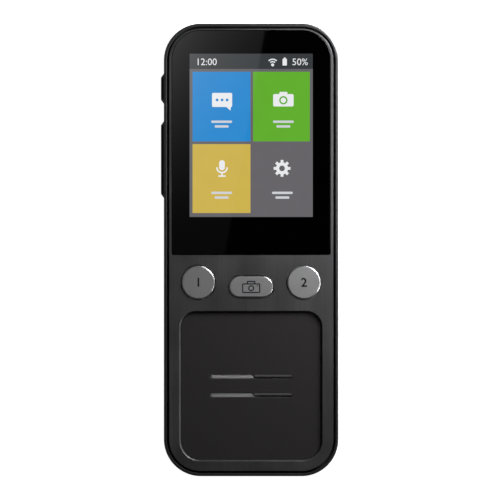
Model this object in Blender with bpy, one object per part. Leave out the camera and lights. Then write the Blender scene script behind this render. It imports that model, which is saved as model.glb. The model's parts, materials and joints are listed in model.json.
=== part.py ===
"""A handheld translator: a slim bar with a colour screen, three front buttons, a recessed speaker panel
and two side keys.

Metres, +Z up. The body lies on its back with the screen up. X runs across it and +Y towards its top end.
The origin is the middle of the flat back.
"""

import math
from dataclasses import dataclass, replace
from itertools import pairwise

import bmesh
import bpy

# Gaps that recur all through the body
SEAT_GAP = 0.0003  # between parts that stand free of each other
FILM_GAP = 0.0001  # between parts that lie against each other
OVERRUN = 0.0010  # how far a cutter reaches past what it cuts
SINK = 0.0002  # how deep a boss or rib starts inside its wall

# Screen, which sets the size of the body
LIT_WIDTH = 0.03672
LIT_LENGTH = 0.04896
SIDE_BORDER = 0.0053
TOP_BORDER = 0.0067
FOOT_BORDER = 0.0113
GLASS_THICKNESS = 0.0008
GLASS_SINK = 0.0001
GLASS_FIT = 0.0001
GLASS_CORNER_RADIUS = 0.0086
GLASS_FOOT_RADIUS = 0.0005
GLASS_CHAMFER = 0.00012
DISPLAY_TAPE = 0.0002
TAPE_MARGIN = 0.0003

# Display module behind the glass
MODULE_SIDE_BORDER = 0.0030
MODULE_TOP_BORDER = 0.0018
MODULE_FOOT_BORDER = 0.0075
MODULE_CORNER_RADIUS = 0.0004
MODULE_FIT = 0.0003
CELL_THICKNESS = 0.0009
CELL_STEP = 0.00045
CELL_LEDGE = 0.0030
CELL_EDGE = 0.0002
TRAY_THICKNESS = 0.0012
TRAY_WALL = 0.0003
TRAY_FLOOR = 0.00025

# Rim, parting groove and front plate
RIM_WIDTH = 0.0008
PARTING_GAP = 0.0004
SIDE_LIP_WIDTH = 0.00107
TOP_LIP_WIDTH = 0.0007
BODY_CORNER_RADIUS = 0.0110
PLATE_THICKNESS = 0.0018
PLATE_CHAMFER = 0.00015
PLATE_TAPE = 0.0002
RIM_EDGE_RADIUS = 0.0004

# Front buttons
TALK_RADIUS = 0.0049
TALK_DROP = 0.0082
TALK_PLACE_SHARE = 0.4736  # of the way from the camera button's end to the body's side
CAMERA_BUTTON_LENGTH = 0.0130
CAMERA_BUTTON_WIDTH = 0.0062
CAMERA_BUTTON_DROP = 0.0095
BUTTON_FIT = 0.0003
BUTTON_PROUD = 0.0004
BUTTON_CHAMFER = 0.0004
BUTTON_TRAVEL = 0.0003
FLANGE_OVERLAP = 0.0004
FLANGE_THICKNESS = 0.0005
NUB_RADIUS = 0.0010
NUB_HEIGHT = 0.0003
STOP_CLEARANCE = 0.0001
HOLE_CHAMFER = 0.0002

# Switches, under the buttons and behind the side keys
SWITCH_SIDE = 0.0034
SWITCH_HEIGHT = 0.0008
SWITCH_BASE_SHARE = 0.65  # of the height
SWITCH_CORNER_RADIUS = 0.0003
SWITCH_CAP_SHARE = 0.52  # of the side

# Speaker panel and speaker
PANEL_DROP = 0.0169
PANEL_LENGTH = 0.0444
PANEL_SIDE_MARGIN = 0.0049
PANEL_FOOT_MARGIN = 0.0047
PANEL_UPPER_RADIUS = 0.0048
PANEL_LOWER_RADIUS = 0.0060
PANEL_RECESS = 0.0009
PANEL_WALL_SLOPE = 0.00035
PANEL_FIT = 0.0001
PANEL_FLANGE = 0.0012
PANEL_FLANGE_THICKNESS = 0.0006
SLOT_LENGTH = 0.0244
SLOT_WIDTH = 0.00125
SLOT_SPACING = 0.0055
SLOT_CHAMFER = 0.00015
GRILLE_POCKET_LENGTH = 0.0260
GRILLE_POCKET_WIDTH = 0.0092
GRILLE_POCKET_DEPTH = 0.0005
GRILLE_POCKET_RADIUS = 0.0012
GRILLE_THICKNESS = 0.0003
SPEAKER_RADIUS = 0.0160
SPEAKER_FLANGE_WIDTH = 0.0021
SPEAKER_FLANGE_THICKNESS = 0.0007
BASKET_DEPTH = 0.0038
BASKET_FLOOR_RADIUS = 0.0093
BASKET_WALL = 0.0005
MAGNET_RADIUS = 0.0084
MAGNET_THICKNESS = 0.0018
MAGNET_CHAMFER = 0.0003
CONE_THICKNESS = 0.0003
CONE_DOME_SHARES = ((0.0, 0.52), (0.22, 0.46), (0.42, 0.24))  # of the cone's radius and of its depth
CONE_DEPTH = 0.0020
CONE_GAP = 0.0006
GASKET_WIDTH = 0.0020
GASKET_THICKNESS = 0.0006
COLLAR_WALL = 0.0021

# Band, web and rear cover
FRAME_WALL = 0.0018
WEB_THICKNESS = 0.0006
BOSS_HEIGHT = 0.0012
COVER_THICKNESS = 0.0012
COVER_RIM_HEIGHT = 0.0016
COVER_EDGE_RADIUS = 0.0012
COVER_JOINT_GAP = 0.00015
LIP_HEIGHT = 0.0012
LIP_THICKNESS = 0.0006
BEAD_LENGTH = 0.0070
BEAD_HEIGHT = 0.0004
BEAD_REACH = 0.0004
BEAD_FIT = 0.0001
BEAD_SIDE_SHARES = (-0.62, 0.0, 0.62)  # of the body's half length
FENCE_HEIGHT = 0.0010
FENCE_THICKNESS = 0.0008

# Main board
BOARD_THICKNESS = 0.0008
BOARD_MARGIN = 0.0003
BOARD_CORNER_RADIUS = 0.0010
BOARD_TO_COLLAR = 0.0024
SHIELD_WIDTH = 0.0240
SHIELD_LENGTH = 0.0180
SHIELD_HEIGHT = 0.0009
SHIELD_CORNER_RADIUS = 0.0006
SHIELD_PLACE_SHARE = 0.5  # of the way up the battery

# Screws
SCREW_RADIUS = 0.0006
SCREW_HEAD_RADIUS = 0.0010
SCREW_HEAD_HEIGHT = 0.0005
SCREW_HEAD_CHAMFER = 0.0002
SCREW_FIT = 0.00015
SCREW_END_GAP = 0.0002
BOSS_RADIUS = 0.0015
SCREW_SIDE_INSET = 0.0027
SCREW_FOOT_INSET = 0.0022
UPPER_SCREW_PLACE_SHARE = 0.5  # of the half width

# Battery
BATTERY_THICKNESS = 0.0035
BATTERY_SIDE_MARGIN = 0.0042
BATTERY_FOOT_MARGIN = 0.0010
BATTERY_HEAD_MARGIN = 0.0034
BATTERY_CORNER_RADIUS = 0.0012
BATTERY_EDGE_RADIUS = 0.0008
LEAD_WIDTH = 0.0050
LEAD_THICKNESS = 0.0003
LEAD_PLACE_SHARE = 0.5  # of the half width
LEAD_BEND_RADIUS = 0.0006
LEAD_RUN = 0.0012

# Rear camera and its light
CAMERA_INSET = 0.0120
CAMERA_SIDE = 0.0085
CAMERA_CORNER_RADIUS = 0.0005
CAMERA_BARREL_RADIUS = 0.0032
CAMERA_BARREL_LENGTH = 0.0012
CAMERA_RING_RADIUS = 0.0045
CAMERA_RING_SINK = 0.0001
CAMERA_RING_CHAMFER = 0.0003
CAMERA_RING_SHELF = 0.0004
CAMERA_WINDOW_RADIUS = 0.0032
CAMERA_WINDOW_THICKNESS = 0.0006
CAMERA_WINDOW_SINK = 0.0002
FLASH_OFFSET = 0.0090
FLASH_RADIUS = 0.0016
FLASH_STEM_RADIUS = 0.0011
LED_SIDE = 0.0022
LED_HEIGHT = 0.0007

# Side keys
KEY_WIDTH = 0.0030
KEY_PROUD = 0.00093
KEY_TAPER = 0.0010
KEY_CHAMFER = 0.0003
KEY_CORNER_RADIUS = 0.0012
KEY_FIT = 0.0002
KEY_FLANGE_OVERLAP = 0.0004
KEY_FLANGE_THICKNESS = 0.0005
KEY_NUB_HEIGHT = 0.0003
KEY_NUB_SIDE = 0.0016
KEY_TRAVEL = 0.0003
POWER_KEY_LENGTH = 0.0093
POWER_KEY_INSET = 0.0193
ROCKER_LENGTH = 0.0232
ROCKER_INSET = 0.0405
ROCKER_SWING = math.radians(1.2)
ROCKER_RELIEF = 0.00045
ROCKER_FLANGE_THICKNESS = 0.0004
ROCKER_NUB_PLACE_SHARE = 0.65  # of the rocker's half length
ROCKER_PIVOT_HALF_LENGTH = 0.0008
KEY_SWITCH_DEPTH = 0.0010
KEY_SWITCH_WIDTH = 0.0024
SIDE_BOARD_THICKNESS = 0.0006
SIDE_BOARD_HEIGHT = 0.0030
SIDE_BOARD_OVERHANG = 0.0012

# Charging end
USB_WIDTH = 0.00894
USB_HEIGHT = 0.0032
USB_DEPTH = 0.0073
USB_WALL = 0.0003
USB_SINK = 0.0002
USB_FIT = 0.00015
USB_SILL = 0.0006
USB_CORNER_RADIUS = 0.0015
USB_TONGUE_WIDTH = 0.0066
USB_TONGUE_THICKNESS = 0.0007
USB_TONGUE_LENGTH = 0.0044
USB_TONGUE_BASE = 0.0010
USB_TONGUE_CORNER_RADIUS = 0.0002
CHARGING_BOARD_DROP = 0.00035
CHARGING_BOARD_LENGTH = 0.0104
CHARGING_SCREW_OFFSET = 0.0110
FLEX_THICKNESS = 0.00015
FLEX_BEND_RADIUS = 0.0005
CHARGING_FLEX_WIDTH = 0.0040
CHARGING_FLEX_PLACE_SHARE = 0.7016  # of the half width
CHARGING_FLEX_LAP = 0.0015
DISPLAY_FLEX_WIDTH = 0.0160
DISPLAY_FLEX_LAP = 0.0012
DISPLAY_FLEX_RETURN = 0.0030
SLOT_MARGIN = 0.0006

# Microphones and antenna
MIC_WIDTH = 0.0030
MIC_LENGTH = 0.0020
MIC_HEIGHT = 0.0010
MIC_CORNER_RADIUS = 0.0002
MIC_HOLE_RADIUS = 0.0005
UPPER_MIC_OFFSET = 0.0060
LOWER_MIC_OFFSET = 0.0075
ANTENNA_LENGTH = 0.0280
ANTENNA_THICKNESS = 0.0002
ANTENNA_PLACE_SHARE = 0.25  # of the body's half length

# Smoothness of the round work
CORNER_STEPS = 8
END_STEPS = 5
SMALL_CORNER_STEPS = 2
EDGE_STEPS = 3
ROUND_STEPS = 40
SPEAKER_ROUND_STEPS = 28
SMALL_ROUND_STEPS = 12
BEND_STEPS = 6
SMOOTH_ANGLE = math.radians(30)
SAME_POINT_SHARE = 1e-6
WELD_SHARE = 1e-5
SHARP_RADIUS_SHARE = 0.05

# Places along and across the body, worked out from the sizes above
HALF_WIDTH = LIT_WIDTH / 2 + SIDE_BORDER + GLASS_FIT + SIDE_LIP_WIDTH + PARTING_GAP + RIM_WIDTH
HEAD_BORDER = RIM_WIDTH + PARTING_GAP + TOP_LIP_WIDTH + GLASS_FIT
BODY_LENGTH = (
    HEAD_BORDER + TOP_BORDER + LIT_LENGTH + FOOT_BORDER + PANEL_DROP + PANEL_LENGTH + PANEL_FOOT_MARGIN
)
HALF_LENGTH = BODY_LENGTH / 2
GLASS_HEAD = HALF_LENGTH - HEAD_BORDER
LIT_HEAD = GLASS_HEAD - TOP_BORDER
LIT_FOOT = LIT_HEAD - LIT_LENGTH
GLASS_FOOT = LIT_FOOT - FOOT_BORDER
MODULE_HALF_WIDTH = LIT_WIDTH / 2 + MODULE_SIDE_BORDER
MODULE_HEAD = LIT_HEAD + MODULE_TOP_BORDER
MODULE_FOOT = LIT_FOOT - MODULE_FOOT_BORDER
TALK_ROW = GLASS_FOOT - TALK_DROP
TALK_OFFSET = CAMERA_BUTTON_LENGTH / 2 + TALK_PLACE_SHARE * (HALF_WIDTH - CAMERA_BUTTON_LENGTH / 2)
CAMERA_BUTTON_ROW = GLASS_FOOT - CAMERA_BUTTON_DROP
PANEL_HEAD = GLASS_FOOT - PANEL_DROP
PANEL_FOOT = PANEL_HEAD - PANEL_LENGTH
SPEAKER_ROW = (PANEL_HEAD + PANEL_FOOT) / 2
CAVITY_HALF_WIDTH = HALF_WIDTH - FRAME_WALL
CAVITY_HALF_LENGTH = HALF_LENGTH - FRAME_WALL
COLLAR_RADIUS = SPEAKER_RADIUS + SEAT_GAP
WEB_HOLE_RADIUS = COLLAR_RADIUS - COLLAR_WALL
BOARD_FOOT = SPEAKER_ROW + COLLAR_RADIUS + BOARD_TO_COLLAR
CAMERA_ROW = HALF_LENGTH - CAMERA_INSET
BATTERY_FOOT = BOARD_FOOT + BATTERY_FOOT_MARGIN
BATTERY_HEAD = CAMERA_ROW - CAMERA_SIDE / 2 - BATTERY_HEAD_MARGIN
BATTERY_HALF_WIDTH = CAVITY_HALF_WIDTH - BATTERY_SIDE_MARGIN
POWER_KEY_ROW = HALF_LENGTH - POWER_KEY_INSET
ROCKER_ROW = HALF_LENGTH - ROCKER_INSET
LIP_INNER_INSET = FRAME_WALL + FILM_GAP + LIP_THICKNESS
CHARGING_BOARD_EDGE = HALF_LENGTH - LIP_INNER_INSET - FILM_GAP
USB_MOUTH = HALF_LENGTH - USB_SINK

# Levels up through the body, worked out from its layers
BATTERY_BASE = COVER_THICKNESS + SEAT_GAP
BATTERY_TOP = BATTERY_BASE + BATTERY_THICKNESS
WEB_BASE = BATTERY_TOP + SEAT_GAP
WEB_TOP = WEB_BASE + WEB_THICKNESS
BOARD_BASE = WEB_TOP + BOSS_HEIGHT + FILM_GAP
BOARD_TOP = BOARD_BASE + BOARD_THICKNESS
SWITCH_BASE = BOARD_TOP + FILM_GAP
SWITCH_TOP = SWITCH_BASE + SWITCH_HEIGHT
NUB_BASE = SWITCH_TOP + STOP_CLEARANCE + BUTTON_TRAVEL
FLANGE_BASE = NUB_BASE + NUB_HEIGHT
FLANGE_TOP = FLANGE_BASE + FLANGE_THICKNESS
PLATE_BASE = FLANGE_TOP + FILM_GAP
FRONT = PLATE_BASE + PLATE_THICKNESS
LEDGE_TOP = PLATE_BASE - FILM_GAP - PLATE_TAPE - FILM_GAP
GLASS_TOP = FRONT - GLASS_SINK
GLASS_BASE = GLASS_TOP - GLASS_THICKNESS
SCREEN_LEDGE_TOP = GLASS_BASE - FILM_GAP - DISPLAY_TAPE - FILM_GAP
CELL_TOP = GLASS_BASE - FILM_GAP
CELL_BASE = CELL_TOP - CELL_THICKNESS
CELL_LEDGE_TOP = CELL_BASE + CELL_STEP
DISPLAY_FLEX_TOP = CELL_LEDGE_TOP + FILM_GAP + FLEX_THICKNESS / 2
DISPLAY_FLEX_BASE = BOARD_TOP + FILM_GAP + FLEX_THICKNESS / 2
TRAY_TOP = CELL_BASE - FILM_GAP
TRAY_BASE = TRAY_TOP - TRAY_THICKNESS
PANEL_TOP = FRONT - PANEL_RECESS
PANEL_FLANGE_TOP = PLATE_BASE - FILM_GAP
PANEL_BASE = PANEL_FLANGE_TOP - PANEL_FLANGE_THICKNESS
GRILLE_TOP = PANEL_BASE + GRILLE_POCKET_DEPTH - FILM_GAP
GASKET_TOP = PANEL_BASE - FILM_GAP
SPEAKER_TOP = GASKET_TOP - GASKET_THICKNESS - FILM_GAP
COLLAR_TOP = SPEAKER_TOP - SPEAKER_FLANGE_THICKNESS - FILM_GAP
BASKET_BASE = SPEAKER_TOP - BASKET_DEPTH
BAND_BASE = COVER_RIM_HEIGHT + COVER_JOINT_GAP
LIP_TOP = COVER_RIM_HEIGHT + LIP_HEIGHT
KEY_LEVEL = (BAND_BASE + FRONT) / 2
USB_LEVEL = BAND_BASE + USB_SILL + USB_FIT + USB_HEIGHT / 2
CHARGING_BOARD_TOP = USB_LEVEL - CHARGING_BOARD_DROP
CHARGING_BOARD_BASE = CHARGING_BOARD_TOP - BOARD_THICKNESS

# Places of the side keys' layers, as distances in from the body's left side
KEY_SWITCH_FACE = (
    FRAME_WALL
    + FILM_GAP
    + KEY_FLANGE_THICKNESS
    + KEY_NUB_HEIGHT
    + KEY_TRAVEL
    + STOP_CLEARANCE
)
SIDE_BOARD_FACE = KEY_SWITCH_FACE + KEY_SWITCH_DEPTH + FILM_GAP
KEY_SLOT_EDGE = SIDE_BOARD_FACE + SIDE_BOARD_THICKNESS + FILM_GAP

# Turns that point an object's own Z axis out of a side of the body
OUT_OF_LEFT = (0, -math.pi / 2, 0)
OUT_OF_FOOT = (math.pi / 2, 0, 0)
OUT_OF_HEAD = (-math.pi / 2, 0, 0)
OUT_OF_BACK = (math.pi, 0, 0)

# Colour, roughness and metallic value of each finish
FINISHES = {
    "anodised_rim": ((0.045, 0.045, 0.047, 1), 0.40, 0.8),
    "brushed_plate": ((0.060, 0.060, 0.062, 1), 0.42, 0.8),
    "button_metal": ((0.230, 0.230, 0.235, 1), 0.50, 0.7),
    "panel_plastic": ((0.024, 0.023, 0.024, 1), 0.80, 0.0),
    "rear_plastic": ((0.030, 0.030, 0.031, 1), 0.60, 0.0),
    "black_glass": ((0.010, 0.010, 0.011, 1), 0.05, 0.0),
    "display_cell": ((0.180, 0.260, 0.300, 1), 0.20, 0.0),
    "clear_plastic": ((0.800, 0.800, 0.780, 1), 0.15, 0.0),
    "bright_steel": ((0.550, 0.550, 0.560, 1), 0.30, 1.0),
    "magnet_steel": ((0.300, 0.300, 0.310, 1), 0.35, 1.0),
    "black_tape": ((0.020, 0.020, 0.020, 1), 0.90, 0.0),
    "board_green": ((0.020, 0.120, 0.060, 1), 0.50, 0.0),
    "flex_amber": ((0.400, 0.180, 0.040, 1), 0.45, 0.0),
    "cell_foil": ((0.420, 0.430, 0.440, 1), 0.35, 0.6),
    "black_plastic": ((0.015, 0.015, 0.016, 1), 0.50, 0.0),
    "speaker_paper": ((0.030, 0.030, 0.032, 1), 0.85, 0.0),
}


@dataclass(frozen=True)
class Outline:
    """A rectangle with round corners, lying flat. Each corner's arc has that number of steps."""

    left: float
    right: float
    foot: float
    head: float
    upper_radius: float
    lower_radius: float
    steps: int = SMALL_CORNER_STEPS

    def inset(self, by):
        """The same outline drawn in by a distance all round, or grown by a negative one."""
        sharp = abs(by) * SHARP_RADIUS_SHARE
        return replace(
            self,
            left=self.left + by,
            right=self.right - by,
            foot=self.foot + by,
            head=self.head - by,
            upper_radius=max(self.upper_radius - by, sharp),
            lower_radius=max(self.lower_radius - by, sharp),
        )

    def narrowed(self, along):
        """The same outline with its head and foot drawn in."""
        return replace(self, foot=self.foot + along, head=self.head - along)

    def ring(self, level):
        """Its points at a level, anticlockwise, with an arc for each corner."""
        upper, lower = self.upper_radius, self.lower_radius
        corners = (
            (self.right - lower, self.foot + lower, lower, -math.pi / 2),
            (self.right - upper, self.head - upper, upper, 0),
            (self.left + upper, self.head - upper, upper, math.pi / 2),
            (self.left + lower, self.foot + lower, lower, math.pi),
        )
        points = []
        for x, y, radius, start in corners:
            for step in range(self.steps + 1):
                angle = start + step / self.steps * math.pi / 2
                points.append((x + radius * math.cos(angle), y + radius * math.sin(angle), level))
        near = (self.right - self.left) * SAME_POINT_SHARE
        return [b for a, b in zip(points[-1:] + points[:-1], points) if math.dist(a, b) > near]


def centred(width, length, radius, x=0, y=0, steps=SMALL_CORNER_STEPS):
    """An outline of that size about a point."""
    return Outline(x - width / 2, x + width / 2, y - length / 2, y + length / 2, radius, radius, steps)


def finish_of(name):
    """The material of a finish, made when it is first asked for."""
    material = bpy.data.materials.get(name)
    if material is None:
        colour, roughness, metallic = FINISHES[name]
        material = bpy.data.materials.new(name)
        material.use_nodes = True
        shader = material.node_tree.nodes["Principled BSDF"]
        shader.inputs["Base Color"].default_value = colour
        shader.inputs["Roughness"].default_value = roughness
        shader.inputs["Metallic"].default_value = metallic
    return material


def place(name, bm, finish, at, turn):
    """Turns a mesh into a named object in the scene, parented to the body's own frame."""
    bmesh.ops.recalc_face_normals(bm, faces=bm.faces)
    mesh = bpy.data.meshes.new(name)
    bm.to_mesh(mesh)
    bm.free()
    mesh.shade_smooth()
    mesh.set_sharp_from_angle(angle=SMOOTH_ANGLE)
    solid = bpy.data.objects.new(name, mesh)
    solid.location = at
    solid.rotation_euler = turn
    solid.parent = bpy.data.objects.get("body_frame")
    bpy.context.scene.collection.objects.link(solid)
    if finish:
        mesh.materials.append(finish_of(finish))
    else:
        solid.hide_render = True
        solid.display_type = "WIRE"
    return solid


def lofted(name, rings, finish=None, at=(0, 0, 0), turn=(0, 0, 0), closed=False):
    """A solid skinned over rings of points. Its ends are capped, unless the last ring meets the first.

    With no finish it is a guide, which only shapes another solid.
    """
    bm = bmesh.new()
    loops = [[bm.verts.new(point) for point in ring] for ring in rings]
    if not closed:
        bm.faces.new(loops[0])
        bm.faces.new(loops[-1])
    following = loops[1:] + loops[:1] if closed else loops[1:]
    for lower, upper in zip(loops, following):
        for index, corner in enumerate(lower):
            bm.faces.new((lower[index - 1], corner, upper[index], upper[index - 1]))
    return place(name, bm, finish, at, turn)


def prism(name, outline, base, top, finish=None, at=(0, 0, 0), turn=(0, 0, 0)):
    """An outline drawn straight up from base to top."""
    return lofted(name, [outline.ring(base), outline.ring(top)], finish, at, turn)


def turned(name, profile, finish=None, at=(0, 0, 0), turn=(0, 0, 0), steps=ROUND_STEPS, closed=False):
    """A solid spun about its own Z axis from (radius, height) points. A closed profile makes a ring."""
    bm = bmesh.new()
    points = [bm.verts.new((radius, 0, height)) for radius, height in profile]
    edges = [bm.edges.new(pair) for pair in pairwise(points)]
    if closed:
        edges.append(bm.edges.new((points[-1], points[0])))
    bmesh.ops.spin(
        bm, geom=points + edges, cent=(0, 0, 0), axis=(0, 0, 1), angle=math.tau, steps=steps, use_merge=True
    )
    reach = max(radius for radius, height in profile)
    bmesh.ops.remove_doubles(bm, verts=bm.verts, dist=reach * WELD_SHARE)
    return place(name, bm, finish, at, turn)


def drum(name, radius, base, top, finish=None, at=(0, 0, 0), turn=(0, 0, 0), steps=ROUND_STEPS):
    """A plain round solid from base to top."""
    return turned(name, [(0, base), (radius, base), (radius, top), (0, top)], finish, at, turn, steps)


def ribbon(name, route, width, thickness, finish, at):
    """A flat flex of that width across X, along a route of (y, z) points."""
    rings = []
    for index, (y, z) in enumerate(route):
        before = route[max(index - 1, 0)]
        after = route[min(index + 1, len(route) - 1)]
        length = math.dist(before, after)
        side_y = -(after[1] - before[1]) / length * thickness / 2
        side_z = (after[0] - before[0]) / length * thickness / 2
        rings.append(
            [
                (-width / 2, y - side_y, z - side_z),
                (width / 2, y - side_y, z - side_z),
                (width / 2, y + side_y, z + side_z),
                (-width / 2, y + side_y, z + side_z),
            ]
        )
    return lofted(name, rings, finish, at)


def bend(y, z, radius, start, end):
    """The (y, z) points of an arc about a centre, from one angle to another."""
    angles = [start + (end - start) * step / BEND_STEPS for step in range(BEND_STEPS + 1)]
    return [(y + radius * math.cos(angle), z + radius * math.sin(angle)) for angle in angles]


def shape(solid, operation, guides):
    """Cuts guides out of a solid, or joins them to it, all in one go."""
    group = bpy.data.collections.new(f"{solid.name}_{operation.lower()}")
    for guide in guides:
        group.objects.link(guide)
    boolean = solid.modifiers.new(group.name, "BOOLEAN")
    boolean.operation = operation
    boolean.solver = "EXACT"
    boolean.operand_type = "COLLECTION"
    boolean.collection = group


def body_outline():
    """The outer edge of the body."""
    radius = BODY_CORNER_RADIUS
    return Outline(-HALF_WIDTH, HALF_WIDTH, -HALF_LENGTH, HALF_LENGTH, radius, radius, CORNER_STEPS)


def glass_outline():
    """The edge of the cover glass."""
    half = LIT_WIDTH / 2 + SIDE_BORDER
    return Outline(
        -half, half, GLASS_FOOT, GLASS_HEAD, GLASS_CORNER_RADIUS, GLASS_FOOT_RADIUS, CORNER_STEPS
    )


def module_outline():
    """The edge of the display module."""
    radius = MODULE_CORNER_RADIUS
    return Outline(-MODULE_HALF_WIDTH, MODULE_HALF_WIDTH, MODULE_FOOT, MODULE_HEAD, radius, radius)


def panel_outline():
    """The edge of the speaker panel's opening at the front."""
    half = HALF_WIDTH - PANEL_SIDE_MARGIN
    return Outline(
        -half, half, PANEL_FOOT, PANEL_HEAD, PANEL_UPPER_RADIUS, PANEL_LOWER_RADIUS, CORNER_STEPS
    )


def camera_button_outline():
    """The edge of the camera button, with round ends."""
    radius = CAMERA_BUTTON_WIDTH / 2
    return centred(
        CAMERA_BUTTON_LENGTH, CAMERA_BUTTON_WIDTH, radius, y=CAMERA_BUTTON_ROW, steps=CORNER_STEPS
    )


def key_outline(length):
    """The edge of a side key, seen from the side, with its length along Y."""
    return centred(KEY_WIDTH, length, KEY_CORNER_RADIUS, steps=END_STEPS)


def board_screw_places():
    """Where the main board's screws stand, clear of the display module."""
    side = CAVITY_HALF_WIDTH - SCREW_SIDE_INSET
    head = (MODULE_HEAD + CAVITY_HALF_LENGTH) / 2
    places = []
    for sign in (-1, 1):
        places.append((sign * UPPER_SCREW_PLACE_SHARE * CAVITY_HALF_WIDTH, head))
        places.append((sign * side, MODULE_FOOT - SCREW_FOOT_INSET))
        places.append((sign * side, BOARD_FOOT + SCREW_FOOT_INSET))
    return places


def charging_screw_places():
    """Where the charging board's screws stand, each side of the socket."""
    row = -CHARGING_BOARD_EDGE + CHARGING_BOARD_LENGTH / 2
    return [(sign * CHARGING_SCREW_OFFSET, row) for sign in (-1, 1)]


def bead_places():
    """The middle, half length along X and half length along Y of each snap bead on the cover's lip."""
    reach = FRAME_WALL + FILM_GAP
    places = []
    for sign in (-1, 1):
        for share in BEAD_SIDE_SHARES:
            places.append((sign * (HALF_WIDTH - reach), share * HALF_LENGTH, BEAD_REACH, BEAD_LENGTH / 2))
    places.append((0, HALF_LENGTH - reach, BEAD_LENGTH / 2, BEAD_REACH))
    return places


def beads(name, grow):
    """A solid for each snap bead, grown on all sides by a distance."""
    middle = (BAND_BASE + LIP_TOP) / 2
    solids = []
    for index, (x, y, half_x, half_y) in enumerate(bead_places()):
        outline = centred(2 * (half_x + grow), 2 * (half_y + grow), BEAD_REACH / 4, x, y)
        base, top = middle - BEAD_HEIGHT / 2 - grow, middle + BEAD_HEIGHT / 2 + grow
        solids.append(prism(f"{name}_{index + 1}", outline, base, top))
    return solids


def key_window(name, length, row):
    """The opening for a side key, right through the band."""
    return prism(
        name,
        key_outline(length).inset(-KEY_FIT),
        -FRAME_WALL - OVERRUN,
        OVERRUN,
        at=(-HALF_WIDTH, row, KEY_LEVEL),
        turn=OUT_OF_LEFT,
    )


def frame_section():
    """The rings of the band and its web: up the inside, round the rim and up under the web."""
    body = body_outline()
    edge = []
    for step in range(EDGE_STEPS + 1):
        angle = step / EDGE_STEPS * math.pi / 2
        inset = RIM_EDGE_RADIUS * (1 - math.sin(angle))
        edge.append((inset, FRONT - RIM_EDGE_RADIUS * (1 - math.cos(angle))))
    section = [
        (FRAME_WALL, WEB_TOP),
        (FRAME_WALL, LEDGE_TOP),
        (RIM_WIDTH, LEDGE_TOP),
        (RIM_WIDTH, FRONT),
        *edge,
        (0, BAND_BASE),
        (FRAME_WALL, BAND_BASE),
        (FRAME_WALL, WEB_BASE),
    ]
    return [body.inset(inset).ring(level) for inset, level in section]


def frame_bosses():
    """What stands on the web: the screws' bosses and the speaker's collar."""
    solids = []
    for index, (x, y) in enumerate(board_screw_places()):
        name = f"board_boss_{index + 1}"
        top = BOARD_BASE - FILM_GAP
        solids.append(drum(name, BOSS_RADIUS, WEB_BASE + SINK, top, at=(x, y, 0), steps=SMALL_ROUND_STEPS))
    for index, (x, y) in enumerate(charging_screw_places()):
        name = f"charging_boss_{index + 1}"
        base = CHARGING_BOARD_TOP + FILM_GAP
        solids.append(drum(name, BOSS_RADIUS, base, WEB_TOP - SINK, at=(x, y, 0), steps=SMALL_ROUND_STEPS))
    solids.append(drum("speaker_collar", COLLAR_RADIUS, WEB_BASE + SINK, COLLAR_TOP, at=(0, SPEAKER_ROW, 0)))
    return solids


def web_openings():
    """What goes through the web: speaker, camera, its light, flexes, the socket and the side key board."""
    low, high = WEB_BASE - OVERRUN, WEB_TOP + OVERRUN
    openings = [
        drum("speaker_hole", WEB_HOLE_RADIUS, low, COLLAR_TOP + OVERRUN, at=(0, SPEAKER_ROW, 0)),
        prism(
            "camera_hole",
            centred(CAMERA_SIDE, CAMERA_SIDE, CAMERA_CORNER_RADIUS, y=CAMERA_ROW).inset(-SEAT_GAP),
            low,
            high,
        ),
        drum(
            "flash_hole",
            FLASH_RADIUS,
            low,
            high,
            at=(FLASH_OFFSET, CAMERA_ROW, 0),
            steps=SMALL_ROUND_STEPS,
        ),
    ]
    lead = (LEAD_PLACE_SHARE * CAVITY_HALF_WIDTH, BATTERY_HEAD + LEAD_RUN + LEAD_BEND_RADIUS, LEAD_WIDTH)
    row = CHARGING_FLEX_PLACE_SHARE * CAVITY_HALF_WIDTH
    charging = (row, charging_flex_rise(), CHARGING_FLEX_WIDTH)
    for name, (x, y, width) in (("lead_slot", lead), ("charging_slot", charging)):
        outline = centred(width + 2 * SLOT_MARGIN, 2 * SLOT_MARGIN, SLOT_MARGIN / 2, x, y)
        openings.append(prism(name, outline, low, high))
    half = USB_WIDTH / 2 + SEAT_GAP
    inner = -USB_MOUTH + USB_DEPTH + SEAT_GAP
    radius = MIC_CORNER_RADIUS
    notch = Outline(-half, half, -CAVITY_HALF_LENGTH - SINK, inner, radius, radius)
    openings.append(prism("socket_notch", notch, low, high))
    openings.append(prism("key_slot", key_slot_outline(), low, high))
    return openings


def key_slot_outline():
    """The space behind the left side for the side keys, their switches and their board."""
    margin = KEY_FIT + KEY_FLANGE_OVERLAP + SEAT_GAP
    return Outline(
        -CAVITY_HALF_WIDTH - SINK,
        -HALF_WIDTH + KEY_SLOT_EDGE,
        ROCKER_ROW - ROCKER_LENGTH / 2 - margin,
        POWER_KEY_ROW + POWER_KEY_LENGTH / 2 + margin,
        MIC_CORNER_RADIUS,
        MIC_CORNER_RADIUS,
    )


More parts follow.
